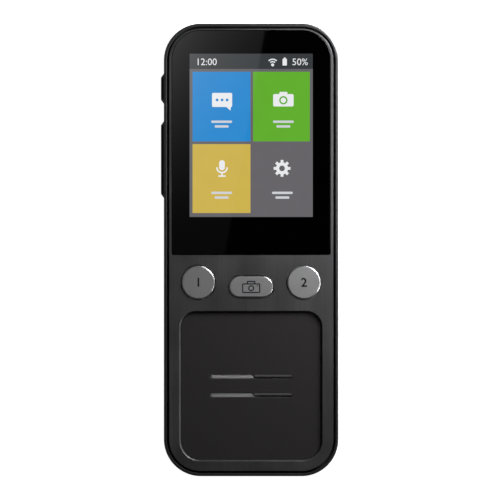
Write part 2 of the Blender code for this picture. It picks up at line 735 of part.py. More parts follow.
def wall_openings():
    """What goes through the band's walls: the side keys, the socket and the two microphones' holes."""
    usb = centred(USB_WIDTH, USB_HEIGHT, USB_CORNER_RADIUS, steps=END_STEPS).inset(-USB_FIT)
    mic_lift = FILM_GAP + MIC_HEIGHT / 2
    through = (-FRAME_WALL - OVERRUN, OVERRUN)
    return [
        key_window("power_key_window", POWER_KEY_LENGTH, POWER_KEY_ROW),
        key_window("rocker_window", ROCKER_LENGTH, ROCKER_ROW),
        prism("socket_window", usb, *through, at=(0, -HALF_LENGTH, USB_LEVEL), turn=OUT_OF_FOOT),
        drum(
            "lower_mic_hole",
            MIC_HOLE_RADIUS,
            *through,
            at=(LOWER_MIC_OFFSET, -HALF_LENGTH, CHARGING_BOARD_TOP + mic_lift),
            turn=OUT_OF_FOOT,
            steps=SMALL_ROUND_STEPS,
        ),
        drum(
            "upper_mic_hole",
            MIC_HOLE_RADIUS,
            *through,
            at=(UPPER_MIC_OFFSET, HALF_LENGTH, BOARD_TOP + mic_lift),
            turn=OUT_OF_HEAD,
            steps=SMALL_ROUND_STEPS,
        ),
    ]


def screw_holes(name, places, base, top):
    """A clear hole for each screw of a group."""
    radius = SCREW_RADIUS + SCREW_FIT
    return [
        drum(f"{name}_{index + 1}", radius, base, top, at=(x, y, 0), steps=SMALL_ROUND_STEPS)
        for index, (x, y) in enumerate(places)
    ]


def side_frame():
    """The band all round, one piece with the web that carries the boards and the speaker."""
    frame = lofted("side_frame", frame_section(), "anodised_rim")
    shape(frame, "UNION", frame_bosses())
    low, high = WEB_BASE - OVERRUN, BOARD_BASE + OVERRUN
    threads = screw_holes("board_thread", board_screw_places(), low, high)
    low, high = CHARGING_BOARD_TOP - OVERRUN, WEB_TOP + OVERRUN
    threads += screw_holes("charging_thread", charging_screw_places(), low, high)
    pockets = beads("snap_pocket", BEAD_FIT)
    shape(frame, "DIFFERENCE", web_openings() + wall_openings() + threads + pockets)


def rear_cover():
    """The back: a shallow pan with a round edge, a lip that snaps into the band, and the battery's fence."""
    body = body_outline()
    edge = []
    for step in range(EDGE_STEPS + 2):
        angle = step / (EDGE_STEPS + 1) * math.pi / 2
        inset = COVER_EDGE_RADIUS * (1 - math.sin(angle))
        edge.append((inset, COVER_EDGE_RADIUS * (1 - math.cos(angle))))
    section = [
        *edge,
        (0, COVER_RIM_HEIGHT),
        (FRAME_WALL + FILM_GAP, COVER_RIM_HEIGHT),
        (FRAME_WALL + FILM_GAP, LIP_TOP),
        (LIP_INNER_INSET, LIP_TOP),
        (LIP_INNER_INSET, COVER_THICKNESS),
    ]
    cover = lofted("rear_cover", [body.inset(inset).ring(level) for inset, level in section], "rear_plastic")
    cell = battery_outline()
    inner, outer = cell.inset(-SEAT_GAP), cell.inset(-SEAT_GAP - FENCE_THICKNESS)
    base, top = COVER_THICKNESS - SINK, COVER_THICKNESS + FENCE_HEIGHT
    fence = lofted(
        "battery_fence", [outer.ring(base), outer.ring(top), inner.ring(top), inner.ring(base)], closed=True
    )
    shape(cover, "UNION", [fence, *beads("snap_bead", 0)])
    usb_half = USB_WIDTH / 2 + SEAT_GAP
    notch = Outline(
        -usb_half,
        usb_half,
        -HALF_LENGTH + FRAME_WALL,
        -HALF_LENGTH + LIP_INNER_INSET + FILM_GAP,
        MIC_CORNER_RADIUS / 2,
        MIC_CORNER_RADIUS / 2,
    )
    through = (-OVERRUN, COVER_THICKNESS + OVERRUN)
    shape(
        cover,
        "DIFFERENCE",
        [
            drum("camera_ring_hole", CAMERA_RING_RADIUS + FILM_GAP, *through, at=(0, CAMERA_ROW, 0)),
            drum("flash_lens_hole", FLASH_RADIUS + FILM_GAP, *through, at=(FLASH_OFFSET, CAMERA_ROW, 0)),
            prism("lip_notch", notch, COVER_RIM_HEIGHT + SINK, LIP_TOP + OVERRUN),
        ],
    )


def front_plate():
    """The brushed plate, with the glass's pocket, the button holes and the speaker panel's opening."""
    outer = body_outline().inset(RIM_WIDTH + PARTING_GAP)
    plate = lofted(
        "front_plate",
        [outer.ring(PLATE_BASE), outer.ring(FRONT - PLATE_CHAMFER), outer.inset(PLATE_CHAMFER).ring(FRONT)],
        "brushed_plate",
    )
    low, high = PLATE_BASE - OVERRUN, FRONT + OVERRUN
    opening = panel_outline()
    floor = opening.inset(PANEL_WALL_SLOPE)
    slope = PANEL_WALL_SLOPE / PANEL_RECESS
    flex_half = DISPLAY_FLEX_WIDTH / 2 + SEAT_GAP
    flex_reach = (DISPLAY_FLEX_TOP - DISPLAY_FLEX_BASE + FLEX_THICKNESS) / 2 + FILM_GAP + SEAT_GAP
    radius = MODULE_CORNER_RADIUS
    flex_notch = Outline(-flex_half, flex_half, MODULE_FOOT - flex_reach, MODULE_FOOT, radius, radius)
    guides = [
        prism("glass_pocket", glass_outline().inset(-GLASS_FIT), SCREEN_LEDGE_TOP, high),
        prism("module_window", module_outline().inset(-MODULE_FIT), low, high),
        prism("flex_notch", flex_notch, low, high),
        lofted(
            "panel_opening",
            [floor.ring(low), floor.ring(PANEL_TOP), opening.inset(-OVERRUN * slope).ring(high)],
        ),
    ]
    camera = camera_button_outline().inset(-BUTTON_FIT)
    guides.append(
        lofted(
            "camera_button_hole",
            [
                camera.ring(low),
                camera.ring(FRONT - HOLE_CHAMFER),
                camera.inset(-HOLE_CHAMFER).ring(FRONT),
                camera.inset(-HOLE_CHAMFER).ring(high),
            ],
        )
    )
    radius = TALK_RADIUS + BUTTON_FIT
    profile = [
        (0, low),
        (radius, low),
        (radius, FRONT - HOLE_CHAMFER),
        (radius + HOLE_CHAMFER, FRONT),
        (radius + HOLE_CHAMFER, high),
        (0, high),
    ]
    for side, sign in (("left", -1), ("right", 1)):
        guides.append(turned(f"talk_hole_{side}", profile, at=(sign * TALK_OFFSET, TALK_ROW, 0)))
    shape(plate, "DIFFERENCE", guides)


def plate_tape():
    """The tape that holds the plate on the band's ledge."""
    outer = body_outline().inset(RIM_WIDTH + FILM_GAP)
    inner = body_outline().inset(FRAME_WALL)
    base, top = LEDGE_TOP + FILM_GAP, PLATE_BASE - FILM_GAP
    rings = [outer.ring(base), outer.ring(top), inner.ring(top), inner.ring(base)]
    lofted("plate_adhesive", rings, "black_tape", closed=True)


def screen():
    """The glass, its tape and the display module with its flex."""
    glass = glass_outline()
    lofted(
        "cover_glass",
        [
            glass.ring(GLASS_BASE),
            glass.ring(GLASS_TOP - GLASS_CHAMFER),
            glass.inset(GLASS_CHAMFER).ring(GLASS_TOP),
        ],
        "black_glass",
    )
    outer = glass.inset(TAPE_MARGIN)
    inner = replace(module_outline(), steps=CORNER_STEPS).inset(-MODULE_FIT - TAPE_MARGIN)
    base, top = SCREEN_LEDGE_TOP + FILM_GAP, GLASS_BASE - FILM_GAP
    rings = [outer.ring(base), outer.ring(top), inner.ring(top), inner.ring(base)]
    lofted("display_adhesive", rings, "black_tape", closed=True)
    module = module_outline()
    upper = replace(module.inset(CELL_EDGE), foot=module.foot + CELL_LEDGE)
    lofted(
        "lcd_panel",
        [
            module.ring(CELL_BASE),
            module.ring(CELL_LEDGE_TOP),
            upper.ring(CELL_LEDGE_TOP),
            upper.ring(CELL_TOP),
        ],
        "display_cell",
    )
    hollow = module.inset(TRAY_WALL)
    floor = TRAY_BASE + TRAY_FLOOR
    lofted(
        "backlight_tray",
        [module.ring(TRAY_BASE), module.ring(TRAY_TOP), hollow.ring(TRAY_TOP), hollow.ring(floor)],
        "bright_steel",
    )
    guide = hollow.inset(FILM_GAP)
    prism("light_guide", guide, floor + FILM_GAP, TRAY_TOP, "clear_plastic")
    display_flex()


def display_flex():
    """The flex from the cell's ledge, round the module's foot and back over the board."""
    low, high = DISPLAY_FLEX_BASE, DISPLAY_FLEX_TOP
    turn = MODULE_FOOT - FILM_GAP
    route = [(MODULE_FOOT + DISPLAY_FLEX_LAP, high)]
    route += bend(turn, (high + low) / 2, (high - low) / 2, math.pi / 2, math.pi * 3 / 2)
    route += [(MODULE_FOOT + DISPLAY_FLEX_RETURN, low)]
    ribbon("display_flex", route, DISPLAY_FLEX_WIDTH, FLEX_THICKNESS, "flex_amber", (0, 0, 0))


def speaker():
    """The recessed panel with its two slots, the grille behind them, and the speaker on its collar."""
    opening = panel_outline()
    top = opening.inset(PANEL_WALL_SLOPE + PANEL_FIT)
    flange = top.inset(-PANEL_FLANGE)
    panel = lofted(
        "speaker_panel",
        [
            flange.ring(PANEL_BASE),
            flange.ring(PANEL_FLANGE_TOP),
            top.ring(PANEL_FLANGE_TOP),
            top.ring(PANEL_TOP),
        ],
        "panel_plastic",
    )
    pocket = centred(GRILLE_POCKET_LENGTH, GRILLE_POCKET_WIDTH, GRILLE_POCKET_RADIUS, y=SPEAKER_ROW)
    guides = [prism("grille_pocket", pocket, PANEL_BASE - OVERRUN, PANEL_BASE + GRILLE_POCKET_DEPTH)]
    for side, sign in (("upper", 1), ("lower", -1)):
        row = SPEAKER_ROW + sign * SLOT_SPACING / 2
        slot = centred(SLOT_LENGTH, SLOT_WIDTH, SLOT_WIDTH / 2, y=row, steps=END_STEPS)
        guides.append(
            lofted(
                f"{side}_slot",
                [
                    slot.ring(PANEL_BASE),
                    slot.ring(PANEL_TOP - SLOT_CHAMFER),
                    slot.inset(-SLOT_CHAMFER).ring(PANEL_TOP),
                    slot.inset(-SLOT_CHAMFER).ring(PANEL_TOP + OVERRUN),
                ],
            )
        )
    shape(panel, "DIFFERENCE", guides)
    grille = pocket.inset(FILM_GAP)
    prism("speaker_mesh", grille, GRILLE_TOP - GRILLE_THICKNESS, GRILLE_TOP, "bright_steel")
    at = (0, SPEAKER_ROW, 0)
    inner = SPEAKER_RADIUS - GASKET_WIDTH
    gasket = [
        (inner, GASKET_TOP - GASKET_THICKNESS),
        (SPEAKER_RADIUS, GASKET_TOP - GASKET_THICKNESS),
        (SPEAKER_RADIUS, GASKET_TOP),
        (inner, GASKET_TOP),
    ]
    turned("speaker_gasket", gasket, "black_tape", at, steps=SPEAKER_ROUND_STEPS, closed=True)
    speaker_basket(at)
    speaker_cone(at)
    base = BASKET_BASE - FILM_GAP - MAGNET_THICKNESS
    magnet = [
        (0, base),
        (MAGNET_RADIUS - MAGNET_CHAMFER, base),
        (MAGNET_RADIUS, base + MAGNET_CHAMFER),
        (MAGNET_RADIUS, BASKET_BASE - FILM_GAP),
        (0, BASKET_BASE - FILM_GAP),
    ]
    turned("speaker_magnet", magnet, "magnet_steel", at, steps=SPEAKER_ROUND_STEPS)


def basket_mouth():
    """The radius where the basket's flange meets its cone."""
    return SPEAKER_RADIUS - SPEAKER_FLANGE_WIDTH


def speaker_basket(at):
    """The speaker's open frame: a flange that rests on the collar, and a cone down to the magnet."""
    mouth = basket_mouth()
    flange = SPEAKER_TOP - SPEAKER_FLANGE_THICKNESS
    profile = [
        (0, BASKET_BASE),
        (BASKET_FLOOR_RADIUS, BASKET_BASE),
        (mouth - SEAT_GAP, flange),
        (SPEAKER_RADIUS, flange),
        (SPEAKER_RADIUS, SPEAKER_TOP),
        (mouth - BASKET_WALL - SEAT_GAP, SPEAKER_TOP),
        (BASKET_FLOOR_RADIUS - BASKET_WALL, BASKET_BASE + BASKET_WALL),
        (0, BASKET_BASE + BASKET_WALL),
    ]
    turned("speaker_basket", profile, "magnet_steel", at, steps=SPEAKER_ROUND_STEPS)


def speaker_cone(at):
    """The speaker's diaphragm: a shallow cone with a dome in its middle."""
    radius = basket_mouth() - BASKET_WALL - SEAT_GAP - CONE_GAP
    low = SPEAKER_TOP - CONE_DEPTH
    upper = [(radius * across, low + CONE_DEPTH * up) for across, up in CONE_DOME_SHARES]
    upper.append((radius, SPEAKER_TOP))
    lower = [(across, level - CONE_THICKNESS) for across, level in reversed(upper)]
    profile = lower[::-1] + upper[::-1]
    turned("speaker_diaphragm", profile, "speaker_paper", at, steps=SPEAKER_ROUND_STEPS)


def tact_switch(name, at, turn=(0, 0, 0), width=SWITCH_SIDE, length=SWITCH_SIDE, height=SWITCH_HEIGHT):
    """A low push switch: a flat case with a raised cap in its middle."""
    case = centred(width, length, SWITCH_CORNER_RADIUS)
    cap = min(width, length) * SWITCH_CAP_SHARE
    button = centred(cap, cap, SWITCH_CORNER_RADIUS)
    shoulder = height * SWITCH_BASE_SHARE
    rings = [case.ring(0), case.ring(shoulder), button.ring(shoulder), button.ring(height)]
    lofted(name, rings, "bright_steel", at, turn)


def front_buttons():
    """Two round talk buttons and the camera button between them, each over its switch."""
    face = FRONT + BUTTON_PROUD
    flange_radius = TALK_RADIUS + BUTTON_FIT + FLANGE_OVERLAP
    profile = [
        (0, NUB_BASE),
        (NUB_RADIUS, NUB_BASE),
        (NUB_RADIUS, FLANGE_BASE),
        (flange_radius, FLANGE_BASE),
        (flange_radius, FLANGE_TOP),
        (TALK_RADIUS, FLANGE_TOP),
        (TALK_RADIUS, face - BUTTON_CHAMFER),
        (TALK_RADIUS - BUTTON_CHAMFER, face),
        (0, face),
    ]
    for side, sign in (("left", -1), ("right", 1)):
        at = (sign * TALK_OFFSET, TALK_ROW, 0)
        turned(f"talk_button_{side}", profile, "button_metal", at)
        tact_switch(f"talk_switch_{side}", (at[0], at[1], SWITCH_BASE))
    edge = centred(CAMERA_BUTTON_LENGTH, CAMERA_BUTTON_WIDTH, CAMERA_BUTTON_WIDTH / 2, steps=CORNER_STEPS)
    flange = edge.inset(-BUTTON_FIT - FLANGE_OVERLAP)
    nub = edge.inset(CAMERA_BUTTON_WIDTH / 2 - NUB_RADIUS)
    lofted(
        "camera_button",
        [
            nub.ring(NUB_BASE),
            nub.ring(FLANGE_BASE),
            flange.ring(FLANGE_BASE),
            flange.ring(FLANGE_TOP),
            edge.ring(FLANGE_TOP),
            edge.ring(face - BUTTON_CHAMFER),
            edge.inset(BUTTON_CHAMFER).ring(face),
        ],
        "button_metal",
        (0, CAMERA_BUTTON_ROW, 0),
    )
    tact_switch("camera_switch", (0, CAMERA_BUTTON_ROW, SWITCH_BASE))


def key_head(length, foot):
    """The rings of a side key's head, from its flange out to its tapered face. Zero is the body's side."""
    head = key_outline(length)
    face = head.narrowed(KEY_TAPER).inset(KEY_CHAMFER)
    return [head.ring(foot), head.ring(0), face.ring(KEY_PROUD)]


def power_key():
    """The short key: a head through the band, a flange behind it and a nub over its switch."""
    flange_face = -FRAME_WALL - FILM_GAP
    flange_back = flange_face - KEY_FLANGE_THICKNESS
    flange = key_outline(POWER_KEY_LENGTH).inset(-KEY_FIT - KEY_FLANGE_OVERLAP)
    nub = centred(KEY_NUB_SIDE, KEY_NUB_SIDE, SWITCH_CORNER_RADIUS, steps=END_STEPS)
    lofted(
        "power_key",
        [
            nub.ring(flange_back - KEY_NUB_HEIGHT),
            nub.ring(flange_back),
            flange.ring(flange_back),
            flange.ring(flange_face),
            *key_head(POWER_KEY_LENGTH, flange_face),
        ],
        "anodised_rim",
        (-HALF_WIDTH, POWER_KEY_ROW, KEY_LEVEL),
        OUT_OF_LEFT,
    )


def rocker_pivot():
    """How far in from the body's side the rocker turns: the middle of its flange."""
    return FRAME_WALL + ROCKER_RELIEF + ROCKER_FLANGE_THICKNESS / 2


def volume_rocker():
    """The long key, which tips about a fulcrum in its middle and presses one of two switches."""
    pivot = rocker_pivot()
    half = ROCKER_FLANGE_THICKNESS / 2
    head = [
        [(x, y, level + pivot) for x, y, level in ring] for ring in key_head(ROCKER_LENGTH, half - pivot)
    ]
    flange = key_outline(ROCKER_LENGTH).inset(-KEY_FIT - KEY_FLANGE_OVERLAP)
    at = (-HALF_WIDTH + pivot, ROCKER_ROW, KEY_LEVEL)
    rocker = lofted(
        "volume_rocker", [flange.ring(-half), flange.ring(half), *head], "anodised_rim", at, OUT_OF_LEFT
    )
    place_along = ROCKER_NUB_PLACE_SHARE * ROCKER_LENGTH / 2
    nub_tip = pivot - KEY_SWITCH_FACE + STOP_CLEARANCE + place_along * math.sin(ROCKER_SWING)
    guides = [
        prism(
            f"rocker_nub_{side}",
            centred(KEY_NUB_SIDE, KEY_NUB_SIDE, SWITCH_CORNER_RADIUS, y=sign * place_along),
            nub_tip,
            half / 2,
            at=at,
            turn=OUT_OF_LEFT,
        )
        for side, sign in (("up", 1), ("down", -1))
    ]
    fulcrum = centred(
        KEY_WIDTH + 2 * (KEY_FIT + KEY_FLANGE_OVERLAP) - 2 * KEY_CHAMFER,
        2 * ROCKER_PIVOT_HALF_LENGTH,
        SWITCH_CORNER_RADIUS,
    )
    back = pivot - SIDE_BOARD_FACE + FILM_GAP
    front = pivot - FRAME_WALL - FILM_GAP
    guides.append(prism("rocker_fulcrum", fulcrum, back, front, at=at, turn=OUT_OF_LEFT))
    shape(rocker, "UNION", guides)


def side_switches():
    """The upright board behind the side keys, with one switch for power and two for the rocker."""
    overhang = SIDE_BOARD_OVERHANG
    outline = Outline(
        -HALF_WIDTH + SIDE_BOARD_FACE,
        -HALF_WIDTH + SIDE_BOARD_FACE + SIDE_BOARD_THICKNESS,
        ROCKER_ROW - ROCKER_LENGTH / 2 + overhang,
        POWER_KEY_ROW + POWER_KEY_LENGTH / 2 - overhang,
        SIDE_BOARD_THICKNESS / 4,
        SIDE_BOARD_THICKNESS / 4,
    )
    low, high = KEY_LEVEL - SIDE_BOARD_HEIGHT / 2, KEY_LEVEL + SIDE_BOARD_HEIGHT / 2
    prism("side_key_board", outline, low, high, "board_green")
    x = -HALF_WIDTH + SIDE_BOARD_FACE - FILM_GAP
    along = ROCKER_NUB_PLACE_SHARE * ROCKER_LENGTH / 2
    rows = {
        "power_switch": POWER_KEY_ROW,
        "volume_up_switch": ROCKER_ROW + along,
        "volume_down_switch": ROCKER_ROW - along,
    }
    for name, row in rows.items():
        tact_switch(name, (x, row, KEY_LEVEL), OUT_OF_LEFT, KEY_SWITCH_WIDTH, SWITCH_SIDE, KEY_SWITCH_DEPTH)


def screw(name, at, length, turn=(0, 0, 0)):
    """A small pan-head screw. Its head stands on zero and its shank goes down."""
    rim = SCREW_HEAD_RADIUS - SCREW_HEAD_CHAMFER
    profile = [
        (0, -length),
        (SCREW_RADIUS, -length),
        (SCREW_RADIUS, 0),
        (SCREW_HEAD_RADIUS, 0),
        (SCREW_HEAD_RADIUS, SCREW_HEAD_HEIGHT - SCREW_HEAD_CHAMFER),
        (rim, SCREW_HEAD_HEIGHT),
        (0, SCREW_HEAD_HEIGHT),
    ]
    turned(name, profile, "bright_steel", at, turn, SMALL_ROUND_STEPS)


def main_board():
    """The board on its bosses, its screws, the shield can below it and the upper microphone on it."""
    cavity = body_outline().inset(FRAME_WALL + BOARD_MARGIN)
    outline = replace(cavity, foot=BOARD_FOOT, lower_radius=BOARD_CORNER_RADIUS)
    board = prism("main_board", outline, BOARD_BASE, BOARD_TOP, "board_green")
    low, high = BOARD_BASE - OVERRUN, BOARD_TOP + OVERRUN
    holes = screw_holes("board_hole", board_screw_places(), low, high)
    shape(board, "DIFFERENCE", [*holes, prism("board_key_notch", key_slot_outline(), low, high)])
    length = BOARD_TOP + FILM_GAP - WEB_BASE - SCREW_END_GAP
    for index, (x, y) in enumerate(board_screw_places()):
        screw(f"board_screw_{index + 1}", (x, y, BOARD_TOP + FILM_GAP), length)
    row = BATTERY_FOOT + SHIELD_PLACE_SHARE * (BATTERY_HEAD - BATTERY_FOOT)
    can = centred(SHIELD_WIDTH, SHIELD_LENGTH, SHIELD_CORNER_RADIUS, y=row)
    top = BOARD_BASE - FILM_GAP
    prism("shield_can", can, top - SHIELD_HEIGHT, top, "bright_steel")
    mic_row = CAVITY_HALF_LENGTH - BOARD_MARGIN - FILM_GAP - MIC_LENGTH / 2
    microphone("microphone_upper", (UPPER_MIC_OFFSET, mic_row, BOARD_TOP + FILM_GAP))
    antenna()


def microphone(name, at):
    """A small closed can that stands on its board behind a hole in the band."""
    can = centred(MIC_WIDTH, MIC_LENGTH, MIC_CORNER_RADIUS)
    prism(name, can, 0, MIC_HEIGHT, "bright_steel", at)


def antenna():
    """The wireless antenna, a thin strip on the band's inner right wall."""
    row = ANTENNA_PLACE_SHARE * HALF_LENGTH
    outline = Outline(
        CAVITY_HALF_WIDTH - FILM_GAP - ANTENNA_THICKNESS,
        CAVITY_HALF_WIDTH - FILM_GAP,
        row - ANTENNA_LENGTH / 2,
        row + ANTENNA_LENGTH / 2,
        ANTENNA_THICKNESS / 4,
        ANTENNA_THICKNESS / 4,
    )
    prism("wifi_antenna", outline, LIP_TOP + SEAT_GAP, WEB_BASE - SEAT_GAP, "flex_amber")


def battery_outline():
    """The edge of the battery."""
    half, radius = BATTERY_HALF_WIDTH, BATTERY_CORNER_RADIUS
    return Outline(-half, half, BATTERY_FOOT, BATTERY_HEAD, radius, radius)


def battery():
    """The flat cell between cover and web, with the lead that goes up to the board."""
    cell = battery_outline()
    waist = cell.inset(BATTERY_EDGE_RADIUS / 2)
    lofted(
        "battery",
        [
            waist.ring(BATTERY_BASE),
            cell.ring(BATTERY_BASE + BATTERY_EDGE_RADIUS / 2),
            cell.ring(BATTERY_TOP - BATTERY_EDGE_RADIUS / 2),
            waist.ring(BATTERY_TOP),
        ],
        "cell_foil",
    )
    level = (BATTERY_BASE + BATTERY_TOP) / 2
    start = BATTERY_HEAD + FILM_GAP
    turn = BATTERY_HEAD + LEAD_RUN
    route = [(start, level)]
    route += bend(turn, level + LEAD_BEND_RADIUS, LEAD_BEND_RADIUS, -math.pi / 2, 0)
    route += [(turn + LEAD_BEND_RADIUS, BOARD_BASE - FILM_GAP)]
    at = (LEAD_PLACE_SHARE * CAVITY_HALF_WIDTH, 0, 0)
    ribbon("battery_lead", route, LEAD_WIDTH, LEAD_THICKNESS, "flex_amber", at)


def rear_camera():
    """The camera behind its ring and window in the back, and the light beside it."""
    barrel_face = COVER_THICKNESS + SEAT_GAP
    shoulder = barrel_face + CAMERA_BARREL_LENGTH
    at = (0, CAMERA_ROW, 0)
    outline = centred(CAMERA_SIDE, CAMERA_SIDE, CAMERA_CORNER_RADIUS)
    module = prism("camera_module", outline, shoulder, BOARD_BASE - FILM_GAP, "black_plastic", at)
    barrel = drum("camera_barrel", CAMERA_BARREL_RADIUS, barrel_face, shoulder + SINK, at=at)
    shape(module, "UNION", [barrel])
    seat = CAMERA_WINDOW_RADIUS + FILM_GAP
    step = CAMERA_RING_SINK + CAMERA_WINDOW_SINK + CAMERA_WINDOW_THICKNESS + FILM_GAP
    ring = [
        (CAMERA_RING_RADIUS - CAMERA_RING_CHAMFER, CAMERA_RING_SINK),
        (CAMERA_RING_RADIUS, CAMERA_RING_SINK + CAMERA_RING_CHAMFER),
        (CAMERA_RING_RADIUS, COVER_THICKNESS),
        (seat - CAMERA_RING_SHELF, COVER_THICKNESS),
        (seat - CAMERA_RING_SHELF, step),
        (seat, step),
        (seat, CAMERA_RING_SINK),
    ]
    turned("camera_ring", ring, "anodised_rim", at, closed=True)
    base = CAMERA_RING_SINK + CAMERA_WINDOW_SINK
    drum("camera_window", CAMERA_WINDOW_RADIUS, base, base + CAMERA_WINDOW_THICKNESS, "black_glass", at)
    beside = (FLASH_OFFSET, CAMERA_ROW, 0)
    led_base = BOARD_BASE - FILM_GAP - LED_HEIGHT
    lens = [
        (0, CAMERA_RING_SINK),
        (FLASH_RADIUS, CAMERA_RING_SINK),
        (FLASH_RADIUS, COVER_THICKNESS),
        (FLASH_STEM_RADIUS, COVER_THICKNESS),
        (FLASH_STEM_RADIUS, led_base - FILM_GAP),
        (0, led_base - FILM_GAP),
    ]
    turned("flash_lens", lens, "clear_plastic", beside, steps=SMALL_ROUND_STEPS)
    led = centred(LED_SIDE, LED_SIDE, MIC_CORNER_RADIUS)
    prism("flash_led", led, led_base, led_base + LED_HEIGHT, "bright_steel", beside)


def usb_socket():
    """The charging socket: a round-cornered steel shell, and the tongue on its base inside."""
    outer = centred(USB_WIDTH, USB_HEIGHT, USB_CORNER_RADIUS, steps=END_STEPS)
    inner = outer.inset(USB_WALL)
    at = (0, -USB_MOUTH, USB_LEVEL)
    lofted(
        "usb_shell",
        [outer.ring(-USB_DEPTH), outer.ring(0), inner.ring(0), inner.ring(-USB_DEPTH + USB_WALL)],
        "bright_steel",
        at,
        OUT_OF_FOOT,
    )
    plug = inner.inset(FILM_GAP)
    tongue = centred(
        USB_TONGUE_WIDTH, USB_TONGUE_THICKNESS, USB_TONGUE_CORNER_RADIUS, steps=END_STEPS
    )
    foot = -USB_DEPTH + USB_WALL + FILM_GAP
    shoulder = foot + USB_TONGUE_BASE
    lofted(
        "usb_tongue",
        [
            plug.ring(foot),
            plug.ring(shoulder),
            tongue.ring(shoulder),
            tongue.ring(shoulder + USB_TONGUE_LENGTH),
        ],
        "black_plastic",
        at,
        OUT_OF_FOOT,
    )


def charging_end():
    """The charging board under its bosses, with the socket, the lower microphone and its screws."""
    cavity = body_outline().inset(LIP_INNER_INSET + FILM_GAP)
    head = -CHARGING_BOARD_EDGE + CHARGING_BOARD_LENGTH
    lower_radius = min(cavity.lower_radius, CHARGING_BOARD_LENGTH - BOARD_CORNER_RADIUS)
    outline = replace(cavity, head=head, upper_radius=BOARD_CORNER_RADIUS, lower_radius=lower_radius)
    board = prism("charging_board", outline, CHARGING_BOARD_BASE, CHARGING_BOARD_TOP, "board_green")
    low, high = CHARGING_BOARD_BASE - OVERRUN, CHARGING_BOARD_TOP + OVERRUN
    half = USB_WIDTH / 2 + FILM_GAP
    radius = MIC_CORNER_RADIUS / 2
    notch = Outline(-half, half, -HALF_LENGTH, -USB_MOUTH + USB_DEPTH + FILM_GAP, radius, radius)
    holes = screw_holes("charging_hole", charging_screw_places(), low, high)
    shape(board, "DIFFERENCE", [*holes, prism("charging_board_notch", notch, low, high)])
    usb_socket()
    mic_row = -CHARGING_BOARD_EDGE + MIC_LENGTH / 2
    microphone("microphone_lower", (LOWER_MIC_OFFSET, mic_row, CHARGING_BOARD_TOP + FILM_GAP))
    base = CHARGING_BOARD_BASE - FILM_GAP
    length = WEB_TOP - SCREW_END_GAP - base
    for index, (x, y) in enumerate(charging_screw_places()):
        screw(f"charging_screw_{index + 1}", (x, y, base), length, OUT_OF_BACK)
    charging_flex()


def charging_flex_rise():
    """Where along the body the charging flex goes up past the main board's foot."""
    return BOARD_FOOT - SLOT_MARGIN


def charging_flex():
    """The flex from the charging board, under the web and up over the main board's foot."""
    radius = FLEX_BEND_RADIUS
    rise = charging_flex_rise()
    start = -CHARGING_BOARD_EDGE + CHARGING_BOARD_LENGTH - CHARGING_FLEX_LAP
    low = CHARGING_BOARD_TOP + FILM_GAP + FLEX_THICKNESS / 2
    high = BOARD_TOP + FILM_GAP + FLEX_THICKNESS / 2
    route = [(start, low)]
    route += bend(rise - radius, low + radius, radius, -math.pi / 2, 0)
    route += bend(rise + radius, high - radius, radius, math.pi, math.pi / 2)
    route += [(BOARD_FOOT + CHARGING_FLEX_LAP, high)]
    at = (CHARGING_FLEX_PLACE_SHARE * CAVITY_HALF_WIDTH, 0, 0)
    ribbon("charging_flex", route, CHARGING_FLEX_WIDTH, FLEX_THICKNESS, "flex_amber", at)


def clear_scene():
    """Removes what the scene holds, and adds the empty that carries the body."""
    for old in list(bpy.data.objects):
        bpy.data.objects.remove(old)
    anchor = bpy.data.objects.new("body_frame", None)
    bpy.context.scene.collection.objects.link(anchor)


def main():
    """Builds the translator, from its housing inwards."""
    clear_scene()
    side_frame()
    rear_cover()
    front_plate()
    plate_tape()
    screen()
    speaker()
    front_buttons()
    power_key()
    volume_rocker()
    side_switches()
    main_board()
    battery()
    rear_camera()
    charging_end()


main()
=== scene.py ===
"""Looks of a handheld translator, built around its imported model.

The camera looks straight down on the front. The visible pieces are finer copies of the model's own nodes
or are modelled here, the picture on the screen and the marks on the buttons are built as thin pieces, and
every node gets a finish made of nodes.
"""

from __future__ import annotations

import json
import logging
import math
from abc import ABC, abstractmethod
from collections.abc import Callable, Iterable, Iterator
from contextlib import contextmanager
from dataclasses import dataclass, field, replace
from enum import Enum

import bmesh
import bpy
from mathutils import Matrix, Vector

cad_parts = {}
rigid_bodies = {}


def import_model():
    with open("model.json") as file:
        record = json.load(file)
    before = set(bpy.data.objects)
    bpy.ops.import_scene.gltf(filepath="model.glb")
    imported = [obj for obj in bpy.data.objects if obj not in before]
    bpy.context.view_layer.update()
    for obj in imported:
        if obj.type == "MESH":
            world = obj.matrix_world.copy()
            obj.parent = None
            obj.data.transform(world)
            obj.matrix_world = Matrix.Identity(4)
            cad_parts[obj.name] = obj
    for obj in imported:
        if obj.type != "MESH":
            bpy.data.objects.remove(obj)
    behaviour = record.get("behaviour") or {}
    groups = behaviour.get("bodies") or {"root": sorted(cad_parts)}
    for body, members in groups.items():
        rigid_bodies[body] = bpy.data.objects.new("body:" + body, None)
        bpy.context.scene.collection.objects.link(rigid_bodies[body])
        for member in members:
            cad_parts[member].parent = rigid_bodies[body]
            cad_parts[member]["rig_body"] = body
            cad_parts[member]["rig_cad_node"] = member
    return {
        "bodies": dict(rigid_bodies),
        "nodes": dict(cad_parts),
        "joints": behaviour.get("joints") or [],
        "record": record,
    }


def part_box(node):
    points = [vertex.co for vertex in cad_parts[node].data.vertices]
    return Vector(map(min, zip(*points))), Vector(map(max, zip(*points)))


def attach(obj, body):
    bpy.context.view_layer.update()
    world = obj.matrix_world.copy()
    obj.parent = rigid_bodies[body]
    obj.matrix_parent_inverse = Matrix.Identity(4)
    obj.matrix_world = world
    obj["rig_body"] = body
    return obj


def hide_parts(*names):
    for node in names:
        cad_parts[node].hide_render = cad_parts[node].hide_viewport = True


LOG = logging.getLogger("translator")

